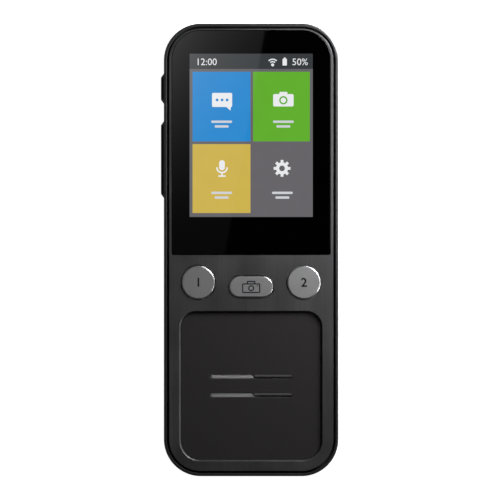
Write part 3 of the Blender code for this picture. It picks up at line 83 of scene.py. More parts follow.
Triple = tuple[float, float, float]
Span = tuple[float, float]
Rule = Callable[[Vector, Vector], bool]
Piece = bpy.types.Object
Socket = bpy.types.NodeSocket

MM = 0.001
SAME_PLACE = 2e-6
OVER = 0.1 * MM
SHARP = math.radians(32)
MIDDLE_HALF = (0.25, 0.75)
NO_TURN = (0.0, 0.0, 0.0)
OUT_OF_LEFT = (0.0, -math.pi / 2, 0.0)
OUT_OF_FOOT = (math.pi / 2, 0.0, 0.0)


class Pick(Enum):
    """The parts of a mesh that a rule picks."""

    CORNERS = "VERT"
    EDGES = "EDGE"
    FACES = "FACE"


class Cut(Enum):
    """What a group of tools does to a piece."""

    AWAY = "DIFFERENCE"
    JOIN = "UNION"
    KEEP = "INTERSECT"


@dataclass(frozen=True)
class Outline:
    """A rectangle with rounded corners, seen from the front.

    The upper two corners and the lower two may have radii of their own. With both radii as large as half
    a side it is a stadium or a circle.
    """

    x: float
    y: float
    half_width: float
    half_length: float
    upper_radius: float
    lower_radius: float | None = None

    @property
    def foot_radius(self) -> float:
        """Gives the radius of the lower corners."""
        return self.upper_radius if self.lower_radius is None else self.lower_radius

    def grown(self, by: float) -> Outline:
        """Gives the outline that lies a distance outside this one, or inside it if negative."""
        upper, lower = (max(radius + by, SAME_PLACE) for radius in (self.upper_radius, self.foot_radius))
        return Outline(self.x, self.y, self.half_width + by, self.half_length + by, upper, lower)

    def gap(self, point: Vector) -> float:
        """Measures how far a point lies outside the outline.

        Args:
            point: A point, of which only X and Y count.

        Returns:
            The distance in metres, negative inside.
        """
        along = point.y - self.y
        radius = self.upper_radius if along > 0 else self.foot_radius
        out_x = abs(point.x - self.x) - self.half_width + radius
        out_y = abs(along) - self.half_length + radius
        return math.hypot(max(out_x, 0.0), max(out_y, 0.0)) + min(max(out_x, out_y), 0.0) - radius

    def has_corner(self, point: Vector, upper: bool) -> bool:
        """Tells whether a point lies above one of the rectangle's upper or lower corners.

        Args:
            point: The point.
            upper: Whether the upper corners are meant.

        Returns:
            True if it does.
        """
        off_x = abs(abs(point.x - self.x) - self.half_width)
        off_y = abs(abs(point.y - self.y) - self.half_length)
        return off_x < SAME_PLACE and off_y < SAME_PLACE and (point.y > self.y) == upper


def rounded(x: float, y: float, half_width: float, half_length: float, *radii: float) -> Outline:
    """Gives an outline from sizes in millimetres."""
    return Outline(*(size * MM for size in (x, y, half_width, half_length, *radii)))


def deselect() -> None:
    """Goes back to object mode with nothing selected."""
    active = bpy.context.view_layer.objects.active
    if active is not None and active.mode != "OBJECT":
        bpy.ops.object.mode_set(mode="OBJECT")
    bpy.ops.object.select_all(action="DESELECT")


def activate(piece: Piece) -> None:
    """Selects one piece alone and makes it the active one.

    Args:
        piece: The piece that the next operators act on.
    """
    deselect()
    piece.select_set(True)
    bpy.context.view_layer.objects.active = piece


def settle(piece: Piece) -> None:
    """Puts a piece's place, turn and scale into its mesh, so that its object sits at the origin."""
    activate(piece)
    bpy.ops.object.transform_apply(location=True, rotation=True, scale=True)


def claim(name: str) -> Piece:
    """Names the piece that an operator has just made, and settles it.

    Args:
        name: Its name.

    Returns:
        The piece.
    """
    piece = bpy.context.object
    piece.name = name
    settle(piece)
    return piece


@contextmanager
def whole(piece: Piece) -> Iterator[None]:
    """Stays in edit mode with all of a piece selected.

    Args:
        piece: The piece.

    Yields:
        Nothing.
    """
    activate(piece)
    bpy.ops.object.mode_set(mode="EDIT")
    bpy.ops.mesh.select_all(action="SELECT")
    yield
    bpy.ops.object.mode_set(mode="OBJECT")


def spin(piece: Piece, angle: float, about: Triple) -> Piece:
    """Turns a piece's mesh about an upright line.

    Args:
        piece: The piece.
        angle: The angle.
        about: A point on the line.

    Returns:
        The piece.
    """
    with whole(piece):
        bpy.ops.transform.rotate(value=angle, orient_axis="Z", center_override=about)
    return piece


def lay(piece: Piece, turn: Triple, place: Triple) -> Piece:
    """Turns a piece that was modelled at the origin, and moves it to its place.

    Args:
        piece: The piece.
        turn: Its turn about X, Y and Z.
        place: Where its origin goes.

    Returns:
        The piece.
    """
    piece.rotation_euler = turn
    piece.location = place
    settle(piece)
    return piece


def pick(piece: Piece, what: Pick, rule: Rule) -> int:
    """Selects parts of a piece's mesh by a rule, and stays in edit mode.

    Args:
        piece: The piece.
        what: The kind of part.
        rule: Says whether a part is wanted, from an edge's two ends, a face's middle and normal, or a
            corner's place given twice.

    Returns:
        The number of parts picked.
    """
    activate(piece)
    bpy.ops.object.mode_set(mode="EDIT")
    bpy.ops.mesh.select_mode(type=what.value)
    bpy.ops.mesh.select_all(action="DESELECT")
    mesh = bmesh.from_edit_mesh(piece.data)
    if what is Pick.EDGES:
        parts = [edge for edge in mesh.edges if rule(edge.verts[0].co, edge.verts[1].co)]
    elif what is Pick.FACES:
        parts = [face for face in mesh.faces if rule(face.calc_center_median(), face.normal)]
    else:
        parts = [corner for corner in mesh.verts if rule(corner.co, corner.co)]
    for part in parts:
        part.select_set(True)
    bmesh.update_edit_mesh(piece.data)
    return len(parts)


def bevel(width: float, steps: int) -> None:
    """Rounds or chamfers the picked edges and leaves edit mode.

    Args:
        width: The width of the round work on each side of an edge.
        steps: The facets, one for a chamfer.
    """
    bpy.ops.mesh.bevel(offset=width, offset_type="OFFSET", segments=steps, affect="EDGES")
    bpy.ops.mesh.select_all(action="SELECT")
    bpy.ops.mesh.remove_doubles(threshold=SAME_PLACE / 4)
    bpy.ops.object.mode_set(mode="OBJECT")


def slab(name: str, outline: Outline, base: float, top: float, steps: int = 16) -> Piece:
    """Models a plate with rounded corners.

    Args:
        name: Its name.
        outline: Its outline, seen from the front.
        base: The level of its lower face.
        top: The level of its upper face.
        steps: The facets in each corner.

    Returns:
        The piece.
    """
    deselect()
    size = (2 * outline.half_width, 2 * outline.half_length, top - base)
    bpy.ops.mesh.primitive_cube_add(size=1, location=(outline.x, outline.y, (base + top) / 2), scale=size)
    piece = claim(name)
    limit = min(outline.half_width, outline.half_length) - SAME_PLACE / 8
    for radius, upper in ((outline.upper_radius, True), (outline.foot_radius, False)):
        if radius > 2 * SAME_PLACE:
            pick(
                piece,
                Pick.EDGES,
                lambda a, b, upper=upper: outline.has_corner(a, upper) and (a - b).xy.length < SAME_PLACE,
            )
            bevel(min(radius, limit), steps)
    return piece


def disc(name: str, centre: Triple, radius: float, top: float, steps: int = 32, turn: float = 0.0) -> Piece:
    """Models a round plate that stands on a point.

    Args:
        name: Its name.
        centre: The middle of its lower face.
        radius: Its radius.
        top: The level of its upper face.
        steps: The facets round it.
        turn: Its turn about its axis.

    Returns:
        The piece.
    """
    deselect()
    bpy.ops.mesh.primitive_cylinder_add(
        vertices=steps,
        radius=radius,
        depth=top - centre[2],
        location=(centre[0], centre[1], (centre[2] + top) / 2),
        rotation=(0, 0, turn),
    )
    return claim(name)


def plug(name: str, outline: Outline, level: float, inset: float, drop: float, steps: int = 24) -> Piece:
    """Models a plug that narrows downwards from a level.

    Args:
        name: Its name.
        outline: Its outline at the level and above.
        level: The level that it narrows from.
        inset: By how much it narrows on every side.
        drop: How far below the level its lower face lies.
        steps: The facets in each corner.

    Returns:
        The piece.
    """
    piece = slab(name, outline, level, level + OVER, steps)
    pick(piece, Pick.FACES, lambda middle, normal: normal.z < -0.5)
    bpy.ops.mesh.inset(thickness=inset, depth=0.0)
    bpy.ops.transform.translate(value=(0.0, 0.0, -drop))
    bpy.ops.object.mode_set(mode="OBJECT")
    return piece


def pit(name: str, outline: Outline, base: float, top: float, flare: float, steps: int = 24) -> list[Piece]:
    """Models the two tools that cut a hole with a chamfered mouth.

    Args:
        name: Their name.
        outline: The hole's outline.
        base: The level that it reaches down to.
        top: The level of its mouth.
        flare: The chamfer's width.
        steps: The facets in each corner.

    Returns:
        The tools.
    """
    depth = flare + OVER / 5
    funnel = plug(f"{name}_mouth", outline.grown(flare), top, depth, depth, steps)
    return [slab(name, outline, base, top + 2 * OVER, steps), funnel]


def soften(piece: Piece, outline: Outline, level: float, width: float, steps: int) -> None:
    """Rounds or chamfers the edge that lies on an outline at one height.

    Args:
        piece: The piece.
        outline: The outline on which the edge lies.
        level: The edge's height.
        width: The width of the round work.
        steps: The facets across it.
    """

    def lies_on(*ends: Vector) -> bool:
        """Tells whether both ends of an edge lie on the outline at the height."""
        return all(abs(p.z - level) < SAME_PLACE and abs(outline.gap(p)) < 4 * SAME_PLACE for p in ends)

    if pick(piece, Pick.EDGES, lies_on) == 0:
        LOG.warning("%s has no edge on the outline at %.5f", piece.name, level)
    bevel(width, steps)


def shape(piece: Piece, tools: Iterable[Piece], cut: Cut) -> Piece:
    """Cuts tools out of a piece, joins them to it, or keeps what they share, and removes the tools.

    Args:
        piece: The piece.
        tools: The tools, each a closed mesh.
        cut: What the tools do.

    Returns:
        The piece.
    """
    tools = list(tools)
    group = bpy.data.collections.new(f"{piece.name}_{cut.name.lower()}")
    for tool in tools:
        group.objects.link(tool)
    activate(piece)
    work = piece.modifiers.new(group.name, "BOOLEAN")
    work.operation = cut.value
    work.solver = "EXACT"
    work.operand_type = "COLLECTION"
    work.collection = group
    bpy.ops.object.modifier_apply(modifier=work.name)
    bpy.data.collections.remove(group)
    for tool in tools:
        bpy.data.objects.remove(tool)
    return piece


def merged(name: str, parts: list[Piece]) -> Piece:
    """Joins several meshes into one piece.

    Args:
        name: The piece's name.
        parts: The meshes.

    Returns:
        The piece.
    """
    deselect()
    for part in parts:
        part.select_set(True)
    bpy.context.view_layer.objects.active = parts[0]
    bpy.ops.object.join()
    parts[0].name = name
    return parts[0]


def smooth(piece: Piece) -> None:
    """Shades a piece smooth, except at its sharp edges, and keeps large faces flat.

    Args:
        piece: The piece.
    """
    activate(piece)
    bpy.ops.object.shade_smooth_by_angle(angle=SHARP)
    even = piece.modifiers.new("flat_faces", "WEIGHTED_NORMAL")
    even.mode = "FACE_AREA"
    even.weight = 100
    even.keep_sharp = True
    bpy.ops.object.modifier_apply(modifier=even.name)


def letters(name: str, text: str, height: float, centre: Triple, depth: float, weight: float = 0.0) -> Piece:
    """Models plain digits as a mesh.

    Args:
        name: The piece's name.
        text: The digits.
        height: The height of a digit.
        centre: The middle of the digits, at the level of their upper face.
        depth: How thick they are.
        weight: By how much their strokes are widened on each side.

    Returns:
        The mesh.
    """
    digit_share = 0.7
    deselect()
    bpy.ops.object.text_add()
    text_data = bpy.context.object.data
    text_data.body = text
    text_data.offset = weight
    text_data.size = height / digit_share
    text_data.extrude = depth / 2
    text_data.resolution_u = 4
    activate(bpy.context.object)
    bpy.ops.object.convert(target="MESH")
    piece = claim(name)
    sides = [[vertex.co[axis] for vertex in piece.data.vertices] for axis in (0, 1)]
    across, along = ((min(side) + max(side)) / 2 for side in sides)
    lay(piece, NO_TURN, (centre[0] - across, centre[1] - along, centre[2] - depth / 2))
    with whole(piece):
        bpy.ops.mesh.remove_doubles(threshold=SAME_PLACE / 2)
    return piece


class Recipe:
    """A material's nodes, with the few calls that the finishes share."""

    def __init__(self, name: str) -> None:
        """Starts a material with one shader.

        Args:
            name: Its name.
        """
        self.material = bpy.data.materials.new(name)
        self.material.use_nodes = True
        self.tree = self.material.node_tree
        self.shader = self.tree.nodes["Principled BSDF"]

    def add(self, kind: str, **values: object) -> bpy.types.Node:
        """Adds a node.

        Args:
            kind: The node's type.
            **values: Its properties.

        Returns:
            The node.
        """
        node = self.tree.nodes.new(kind)
        for key, value in values.items():
            setattr(node, key, value)
        return node

    def link(self, output: Socket, target: Socket) -> None:
        """Links an output to an input."""
        self.tree.links.new(output, target)

    def drive(self, output: Socket, target: str) -> None:
        """Links an output to one of the shader's inputs."""
        self.link(output, self.shader.inputs[target])

    def texture(self, kind: str, output: str, grain: Triple, **values: float) -> Socket:
        """Adds a texture in object coordinates, in which one unit is one grain.

        Args:
            kind: The texture's node type.
            output: The name of the output that is wanted.
            grain: The grain along X, Y and Z in metres.
            **values: The texture's inputs.

        Returns:
            The socket with the texture.
        """
        source = self.add("ShaderNodeTexCoord")
        mapping = self.add("ShaderNodeMapping")
        mapping.inputs["Scale"].default_value = tuple(1 / size for size in grain)
        self.link(source.outputs["Object"], mapping.inputs["Vector"])
        node = self.add(kind)
        for key, value in {"Scale": 1.0, **values}.items():
            node.inputs[key].default_value = value
        self.link(mapping.outputs["Vector"], node.inputs["Vector"])
        return node.outputs[output]

    def noise(self, grain: Triple, detail: float) -> Socket:
        """Gives a noise between 0 and 1 with a number of finer layers."""
        return self.texture("ShaderNodeTexNoise", "Fac", grain, Detail=detail)

    def calculate(self, operation: str, *values: Socket | float) -> Socket:
        """Does one step of arithmetic.

        Args:
            operation: The kind of step.
            *values: The sockets and numbers that go into it.

        Returns:
            The socket with the result.
        """
        node = self.add("ShaderNodeMath", operation=operation)
        for target, value in zip(node.inputs, values):
            if isinstance(value, Socket):
                self.link(value, target)
            else:
                target.default_value = value
        return node.outputs["Value"]

    def spread(self, value: Socket, low: float, high: float, ends: Span = MIDDLE_HALF) -> Socket:
        """Maps a value to a span, by default the middle half of a noise.

        Args:
            value: The value.
            low: What it gives at its start.
            high: What it gives at its end.
            ends: The values at which the span starts and ends.

        Returns:
            The socket with the mapped value.
        """
        node = self.add("ShaderNodeMapRange")
        for key, number in zip(("From Min", "From Max", "To Min", "To Max"), (*ends, low, high)):
            node.inputs[key].default_value = number
        self.link(value, node.inputs["Value"])
        return node.outputs["Result"]

    def tint(self, value: Socket, color: Triple, spread: float) -> Socket:
        """Gives a colour that varies with a noise about a mean.

        Args:
            value: The noise.
            color: The mean colour, linear.
            spread: The part of the colour by which it varies.

        Returns:
            The socket with the colour.
        """
        ramp = self.add("ShaderNodeValToRGB")
        for element, place, share in zip(ramp.color_ramp.elements, MIDDLE_HALF, (1 - spread, 1 + spread)):
            element.position = place
            element.color = (*[min(c * share, 1.0) for c in color], 1.0)
        self.link(value, ramp.inputs["Fac"])
        return ramp.outputs["Color"]

    def raise_by(self, height: Socket, depth: float, strength: float) -> None:
        """Makes a height pattern felt in the shading.

        Args:
            height: The pattern, between 0 and 1.
            depth: The relief's depth in metres.
            strength: How strongly it shows.
        """
        bump = self.add("ShaderNodeBump")
        bump.inputs["Distance"].default_value = depth
        bump.inputs["Strength"].default_value = strength
        self.link(height, bump.inputs["Height"])
        self.drive(bump.outputs["Normal"], "Normal")

    def put(self, **values: object) -> None:
        """Sets the shader's own inputs, with underscores for the spaces in their names."""
        for key, value in values.items():
            self.shader.inputs[key.replace("_", " ")].default_value = value


@dataclass(frozen=True)
class Finish:
    """The finish of a surface, from a noise that varies its colour and gloss and gives it relief.

    It belongs to a slot. Its colour is linear, its grain and its relief's depth are in metres.
    """

    name: str
    slot: str
    color: Triple
    grain: Triple = (0.2 * MM, 0.2 * MM, 0.2 * MM)
    detail: float = 3.0
    spread: float = 0.1
    roughness: Span = (0.6, 0.8)
    depth: float = 0.0
    strength: float = 0.5
    metallic: float = 0.0
    specular: float = 0.5
    ior: float = 1.5
    clear: float = 0.0

    def sockets(self, recipe: Recipe) -> tuple[Socket, Socket, Socket]:
        """Gives what drives the colour, the gloss and the relief."""
        return (recipe.noise(self.grain, self.detail),) * 3

    def make(self) -> bpy.types.Material:
        """Makes the material.

        Returns:
            The material.
        """
        recipe = Recipe(f"{self.name}_finish")
        tone, gloss, relief = self.sockets(recipe)
        recipe.drive(recipe.tint(tone, self.color, self.spread), "Base Color")
        recipe.drive(recipe.spread(gloss, *self.roughness), "Roughness")
        if self.depth > 0:
            recipe.raise_by(relief, self.depth, self.strength)
        recipe.put(Metallic=self.metallic, Specular_IOR_Level=self.specular)
        recipe.put(IOR=self.ior, Transmission_Weight=self.clear)
        return recipe.material

    def material(self) -> bpy.types.Material:
        """Gives the finish's material, which is made once."""
        return bpy.data.materials.get(f"{self.name}_finish") or self.make()

    def dress(self, piece: Piece) -> None:
        """Gives a piece this finish in place of its old materials."""
        piece.data.materials.clear()
        piece.data.materials.append(self.material())


@dataclass(frozen=True)
class BrushedMetal(Finish):
    """Anodised metal with fine straight brush lines and broad clouds of gloss."""

    grain: Triple = (0.22 * MM, 40 * MM, 5 * MM)
    detail: float = 4.0
    roughness: Span = (0.34, 0.46)
    depth: float = 0.004 * MM
    metallic: float = 0.9
    clouds: Triple = (9 * MM, 16 * MM, 9 * MM)

    def sockets(self, recipe: Recipe) -> tuple[Socket, Socket, Socket]:
        """Gives what drives the colour, the gloss and the relief."""
        lines = recipe.noise(self.grain, self.detail)
        return lines, recipe.noise(self.clouds, self.detail / 2), lines


@dataclass(frozen=True)
class BlastedMetal(Finish):
    """Anodised metal with a fine blasted grain."""

    grain: Triple = (0.14 * MM, 0.14 * MM, 0.14 * MM)
    roughness: Span = (0.36, 0.46)
    depth: float = 0.012 * MM
    metallic: float = 0.9


@dataclass(frozen=True)
class MouldedPlastic(Finish):
    """Plastic with the fine cells of an etched mould."""

    cell: float = 0.3 * MM
    spread: float = 0.12
    roughness: Span = (0.5, 0.62)
    depth: float = 0.015 * MM
    strength: float = 0.6
    specular: float = 0.4
    tone_share: float = 0.7

    def sockets(self, recipe: Recipe) -> tuple[Socket, Socket, Socket]:
        """Gives what drives the colour, the gloss and the relief."""
        tone = recipe.noise((self.cell * self.tone_share,) * 3, self.detail)
        return tone, tone, recipe.texture("ShaderNodeTexVoronoi", "Distance", (self.cell,) * 3)


@dataclass(frozen=True)
class PolishedGlass(Finish):
    """Glass that is printed black from behind, or a dark polished lens."""

    grain: Triple = (14 * MM, 20 * MM, 14 * MM)
    roughness: Span = (0.012, 0.03)


@dataclass(frozen=True)
class SheetMetal(Finish):
    """Rolled or plated sheet metal."""

    grain: Triple = (4 * MM, 0.3 * MM, 0.3 * MM)
    spread: float = 0.08
    roughness: Span = (0.25, 0.4)
    depth: float = 0.003 * MM
    strength: float = 0.4
    metallic: float = 1.0


@dataclass(frozen=True)
class SoftLayer(Finish):
    """Tape, foil, paper or a laminate with an even fibre."""

    detail: float = 4.0
    depth: float = 0.01 * MM
    strength: float = 0.4


@dataclass(frozen=True)
class ClearPlastic(Finish):
    """Clear plastic with a slight frost."""

    grain: Triple = (0.3 * MM, 0.3 * MM, 0.3 * MM)
    detail: float = 2.0
    spread: float = 0.05
    roughness: Span = (0.08, 0.2)
    ior: float = 1.49
    clear: float = 0.6


@dataclass(frozen=True)
class LitPicture(Finish):
    """A lit area of the screen, glossier than the glass it shines through."""

    slot: str = "display_cell"
    color: Triple = (0.82, 0.83, 0.85)
    grain: Triple = (6 * MM, 6 * MM, 6 * MM)
    detail: float = 2.0
    spread: float = 0.02
    ior: float = 1.85
    unlit: float = 0.0003
    gloss: float = 0.02

    def make(self) -> bpy.types.Material:
        """Makes the material.

        Returns:
            The material.
        """
        recipe = Recipe(f"{self.name}_finish")
        recipe.drive(recipe.tint(self.sockets(recipe)[0], self.color, self.spread), "Emission Color")
        recipe.put(Base_Color=(*(self.unlit,) * 3, 1.0), Roughness=self.gloss, IOR=self.ior)
        recipe.put(Emission_Strength=1.0)
        return recipe.material


ANODISED_RIM = BlastedMetal(
    "anodised_rim", "anodised_rim", (0.12, 0.12, 0.123), roughness=(0.3, 0.38), depth=0.006 * MM
)
BRUSHED_PLATE = BrushedMetal("brushed_plate", "brushed_plate", (0.158, 0.157, 0.161))
BUTTON_METAL = BlastedMetal("button_metal", "button_metal", (0.54, 0.54, 0.548))
BRIGHT_CHAMFER = BlastedMetal(
    "bright_chamfer",
    "button_metal",
    (0.42, 0.42, 0.425),
    spread=0.03,
    roughness=(0.2, 0.26),
    depth=0.001 * MM,
)
WIRE_STEEL = BlastedMetal("wire_steel", "bright_steel", (0.44, 0.44, 0.445), roughness=(0.4, 0.5))
# The shelf's pale grey is painted light: it stands in for light falling on the upper half of each slot
# beside the wires.
SHELF_PAINTED_LIGHT = MouldedPlastic("slot_shelf", "panel_plastic", (0.075, 0.073, 0.074), cell=0.2 * MM)
PANEL_PLASTIC = MouldedPlastic("panel_plastic", "panel_plastic", (0.0172, 0.0151, 0.0157))
REAR_PLASTIC = MouldedPlastic("rear_plastic", "rear_plastic", (0.03, 0.03, 0.031), cell=0.4 * MM)
BLACK_GLASS = PolishedGlass("black_glass", "black_glass", (0.0003, 0.0003, 0.00035))
DARK_MARK = MouldedPlastic("dark_mark", "button_metal", (0.006, 0.006, 0.006), cell=0.1 * MM, specular=0.15)
PICTURE_WHITE = LitPicture("picture_white")
PICTURE_LABEL = LitPicture("picture_label", color=(0.62, 0.64, 0.68))
PICTURE_GREY = LitPicture("picture_grey", color=(0.135, 0.13, 0.14))
PICTURE_BAR = LitPicture("picture_bar", color=(0.040, 0.045, 0.049))
PICTURE_BLUE = LitPicture("picture_blue", color=(0.019, 0.243, 0.610))
PICTURE_GREEN = LitPicture("picture_green", color=(0.122, 0.423, 0.030))
PICTURE_YELLOW = LitPicture("picture_yellow", color=(0.610, 0.445, 0.080))

SLOT_FINISHES: dict[str, Finish] = {
    finish.slot: finish
    for finish in (
        ANODISED_RIM,
        BRUSHED_PLATE,
        BUTTON_METAL,
        PANEL_PLASTIC,
        REAR_PLASTIC,
        BLACK_GLASS,
        SoftLayer("display_cell", "display_cell", (0.05, 0.06, 0.07), roughness=(0.15, 0.25)),
        ClearPlastic("clear_plastic", "clear_plastic", (0.8, 0.8, 0.78)),
        SheetMetal("bright_steel", "bright_steel", (0.55, 0.55, 0.56)),
        SheetMetal("magnet_steel", "magnet_steel", (0.3, 0.3, 0.31)),
        SoftLayer("black_tape", "black_tape", (0.02, 0.02, 0.02)),
        SoftLayer("board_green", "board_green", (0.02, 0.12, 0.06), roughness=(0.3, 0.4)),
        SoftLayer("flex_amber", "flex_amber", (0.4, 0.16, 0.03), roughness=(0.3, 0.4)),
        SoftLayer("cell_foil", "cell_foil", (0.5, 0.5, 0.51), roughness=(0.25, 0.4), metallic=1.0),
        MouldedPlastic("black_plastic", "black_plastic", (0.02, 0.02, 0.021)),
        SoftLayer("speaker_paper", "speaker_paper", (0.04, 0.04, 0.042), grain=(0.4 * MM,) * 3),
    )
}


@dataclass
class Bench:
    """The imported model, and how new pieces are hung on it."""

    frame: dict
    built: list[str] = field(default_factory=list)
    flat_angle: float = math.radians(0.5)
    edge_angle: float = math.radians(36)

    def node(self, name: str) -> Piece:
        """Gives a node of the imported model."""
        return self.frame["nodes"][name]

    def body_of(self, name: str) -> str:
        """Gives the name of the body that a node belongs to."""
        return self.node(name)["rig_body"]

    def slot_of(self, name: str) -> str:
        """Gives the slot that a node takes its finish from."""
        return self.node(name).data.materials[0].name.split(".")[0]

    def copy(self, node: str, name: str, edge: float) -> Piece:
        """Makes a finer copy of a node, with its triangles merged and its sharp edges softened.

        Args:
            node: The node.
            name: The copy's name.
            edge: The width of the softened edges, 0 for none.

        Returns:
            The copy.
        """
        source = self.node(node)
        source.hide_set(False)
        activate(source)
        bpy.ops.object.duplicate()
        piece = bpy.context.object
        piece.parent = None
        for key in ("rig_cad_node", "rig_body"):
            if key in piece:
                del piece[key]
        piece.name = name
        with whole(piece):
            bpy.ops.mesh.select_mode(type="FACE")
            bpy.ops.mesh.remove_doubles(threshold=SAME_PLACE / 2)
            bpy.ops.mesh.dissolve_limited(angle_limit=self.flat_angle)
        if edge > 0:
            round_work = piece.modifiers.new("edges", "BEVEL")
            round_work.width = edge
            round_work.segments = 2
            round_work.limit_method = "ANGLE"
            round_work.angle_limit = self.edge_angle
            bpy.ops.object.modifier_apply(modifier=round_work.name)
        return piece

    def hang(self, piece: Piece, body: str, finish: Finish, replaces: Iterable[str] = ()) -> Piece:
        """Dresses a piece and lets it ride on a body.

        Args:
            piece: The piece.
            body: The body's name.
            finish: Its finish.
            replaces: The nodes that it stands for.

        Returns:
            The piece.
        """
        smooth(piece)
        finish.dress(piece)
        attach(piece, body)
        names = list(replaces)
        if names:
            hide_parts(*names)
        self.built.append(piece.name)
        LOG.info("built %s on %s", piece.name, body)
        return piece

    def refine(self, node: str, name: str, finish: Finish, edge: float = 0.03 * MM) -> Piece:
        """Shows a finer copy of a node, with softened edges, in the node's place."""
        return self.hang(self.copy(node, name, edge), self.body_of(node), finish, (node,))


@dataclass
class Studio:
    """The camera, the white floor, the lights and the cards that the glass and the metal reflect.

    The card's corners and its glow are given as places on the front, in whose reflection they are seen.
    """

    lens: float = 400.0
    sensor: float = 36.0
    clip: Span = (0.01, 20.0)
    front_level: float = 12 * MM
    frame_width: float = 149.05 * MM
    picture_shift: float = -0.35 * MM
    picture_lift: float = -0.04 * MM
    sky: tuple[Span, ...] = ((0.0, 0.14), (0.15, 0.18), (0.75, 0.016), (1.0, 0.003))
    white_glow: float = 0.985
    floor_white: float = 0.8
    floor_size: float = 6.0
    floor_level: float = -0.02 * MM
    dome_radius: float = 3.2
    key_place: Triple = (0.17, 0.16, 0.125)
    key_aim: Triple = (0.01, 0.01, 0.012)
    key_size: Span = (0.12, 0.12)
    key_power: float = 1.22
    strip_bearings: tuple[float, ...] = (-16.0, 22.0, 60.0)
    strip_half_angle: float = math.radians(20)
    strip_reach: float = 0.40
    strip_height: float = 0.03
    strip_power: float = 0.45
    card_level: float = 0.5
    card_left: float = -30 * MM
    card_head_right: float = 4.6 * MM
    card_foot_right: float = -9.0 * MM
    card_ends: Span = (-8 * MM, 68 * MM)
    card_rise: Span = (-5 * MM, 66 * MM)
    card_power: float = 2.5
    card_fall: float = 64.1
    card_full: float = -20.1 * MM
    card_glow: float = 0.95
    card_least: float = 0.06
    side_glow: float = 2.0
    side_place: Triple = (0.070, 0.050, 0.112)
    side_size: Triple = (0.080, 0.100, 1.0)

    @property
    def camera_height(self) -> float:
        """Gives the camera's height above the front."""
        return self.frame_width * self.lens / self.sensor

    def build(self) -> None:
        """Makes all of the studio."""
        self.set_camera()
        self.set_world()
        self.raise_white()
        self.hang_lights()
        self.hang_card()
        self.hang_side_card()
        bpy.context.scene.view_settings.view_transform = "Standard"
        bpy.context.scene.view_settings.look = "None"

    def set_camera(self) -> None:
        """Makes the camera that looks straight down on the front."""
        data = bpy.data.cameras.new("camera")
        data.lens = self.lens
        data.sensor_width = self.sensor
        data.clip_start, data.clip_end = self.clip
        camera = bpy.data.objects.new("camera", data)
        camera.location = (self.picture_shift, self.picture_lift, self.front_level + self.camera_height)
        bpy.context.scene.collection.objects.link(camera)
        bpy.context.scene.camera = camera

    def set_world(self) -> None:
        """Makes a dark sky with a faint glow near the horizon."""
        world = bpy.data.worlds.new("studio")
        bpy.context.scene.world = world
        world.use_nodes = True
        tree = world.node_tree
        place = tree.nodes.new("ShaderNodeTexCoord")
        split = tree.nodes.new("ShaderNodeSeparateXYZ")
        ramp = tree.nodes.new("ShaderNodeValToRGB")
        for height, _ in self.sky[1:-1]:
            ramp.color_ramp.elements.new(height)
        for element, (height, light) in zip(ramp.color_ramp.elements, self.sky):
            element.position = height
            element.color = (light, light, light, 1.0)
        tree.links.new(place.outputs["Generated"], split.inputs["Vector"])
        tree.links.new(split.outputs["Z"], ramp.inputs["Fac"])
        tree.links.new(ramp.outputs["Color"], tree.nodes["Background"].inputs["Color"])

    @staticmethod
    def even_white(name: str, white: float, glow: float) -> bpy.types.Material:
        """Makes a plain white for the stage.

        Args:
            name: The material's name.
            white: How much light it gives back.
            glow: How much it shines by itself.

        Returns:
            The material.
        """
        recipe = Recipe(name)
        recipe.put(Base_Color=(white, white, white, 1.0), Roughness=1.0, Specular_IOR_Level=0.0)
        recipe.put(Emission_Color=(1.0, 1.0, 1.0, 1.0), Emission_Strength=glow)
        return recipe.material

    @staticmethod
    def set_stage(piece: Piece, material: bpy.types.Material, unseen: Iterable[str]) -> None:
        """Makes a piece part of the stage.

        Args:
            piece: The piece.
            material: Its material.
            unseen: The kinds of ray that it is hidden from.
        """
        piece.data.materials.append(material)
        for ray in unseen:
            setattr(piece, f"visible_{ray}", False)

    @staticmethod
    def sheet(name: str, middle: Triple, size: Triple) -> Piece:
        """Models a level sheet.

        Args:
            name: Its name.
            middle: Its middle.
            size: Its size.

        Returns:
            The sheet.
        """
        deselect()
        bpy.ops.mesh.primitive_plane_add(size=1.0, location=middle)
        bpy.context.object.scale = size
        return claim(name)

    def raise_white(self) -> None:
        """Lays the white floor that the translator lies on, and raises the backdrop that the camera sees."""
        floor = self.sheet("floor", (0.0, 0.0, self.floor_level), (self.floor_size, self.floor_size, 1.0))
        self.set_stage(floor, self.even_white("floor_white", self.floor_white, self.white_glow), ("glossy",))
        deselect()
        bpy.ops.mesh.primitive_uv_sphere_add(segments=48, ring_count=24, radius=self.dome_radius)
        pale = self.even_white("backdrop_pale", 0.0, self.white_glow)
        self.set_stage(claim("backdrop"), pale, ("diffuse", "glossy", "transmission", "shadow"))

    @staticmethod
    def area_light(name: str, place: Triple, aim: Triple, size: Span, power: float) -> None:
        """Hangs an area light.

        Args:
            name: Its name.
            place: Where it hangs.
            aim: The point that it faces.
            size: Its width and height.
            power: Its power in watts.
        """
        data = bpy.data.lights.new(name, "AREA")
        data.shape = "RECTANGLE"
        data.size, data.size_y = size
        data.energy = power
        light = bpy.data.objects.new(name, data)
        light.location = place
        light.rotation_mode = "QUATERNION"
        light.rotation_quaternion = (Vector(aim) - Vector(place)).to_track_quat("-Z", "Y")
        light.visible_camera = False
        bpy.context.scene.collection.objects.link(light)

    def hang_lights(self) -> None:
        """Hangs the key light at the upper right and a low strip that draws the bright edges."""
        self.area_light("key", self.key_place, self.key_aim, self.key_size, self.key_power)
        level = self.strip_height / 2
        size = (2 * self.strip_reach * math.tan(self.strip_half_angle), self.strip_height)
        for number, bearing in enumerate(self.strip_bearings, 1):
            azimuth = math.radians(bearing)
            place = (self.strip_reach * math.cos(azimuth), self.strip_reach * math.sin(azimuth), level)
            self.area_light(f"strip_{number}", place, (0.0, 0.0, level), size, self.strip_power)

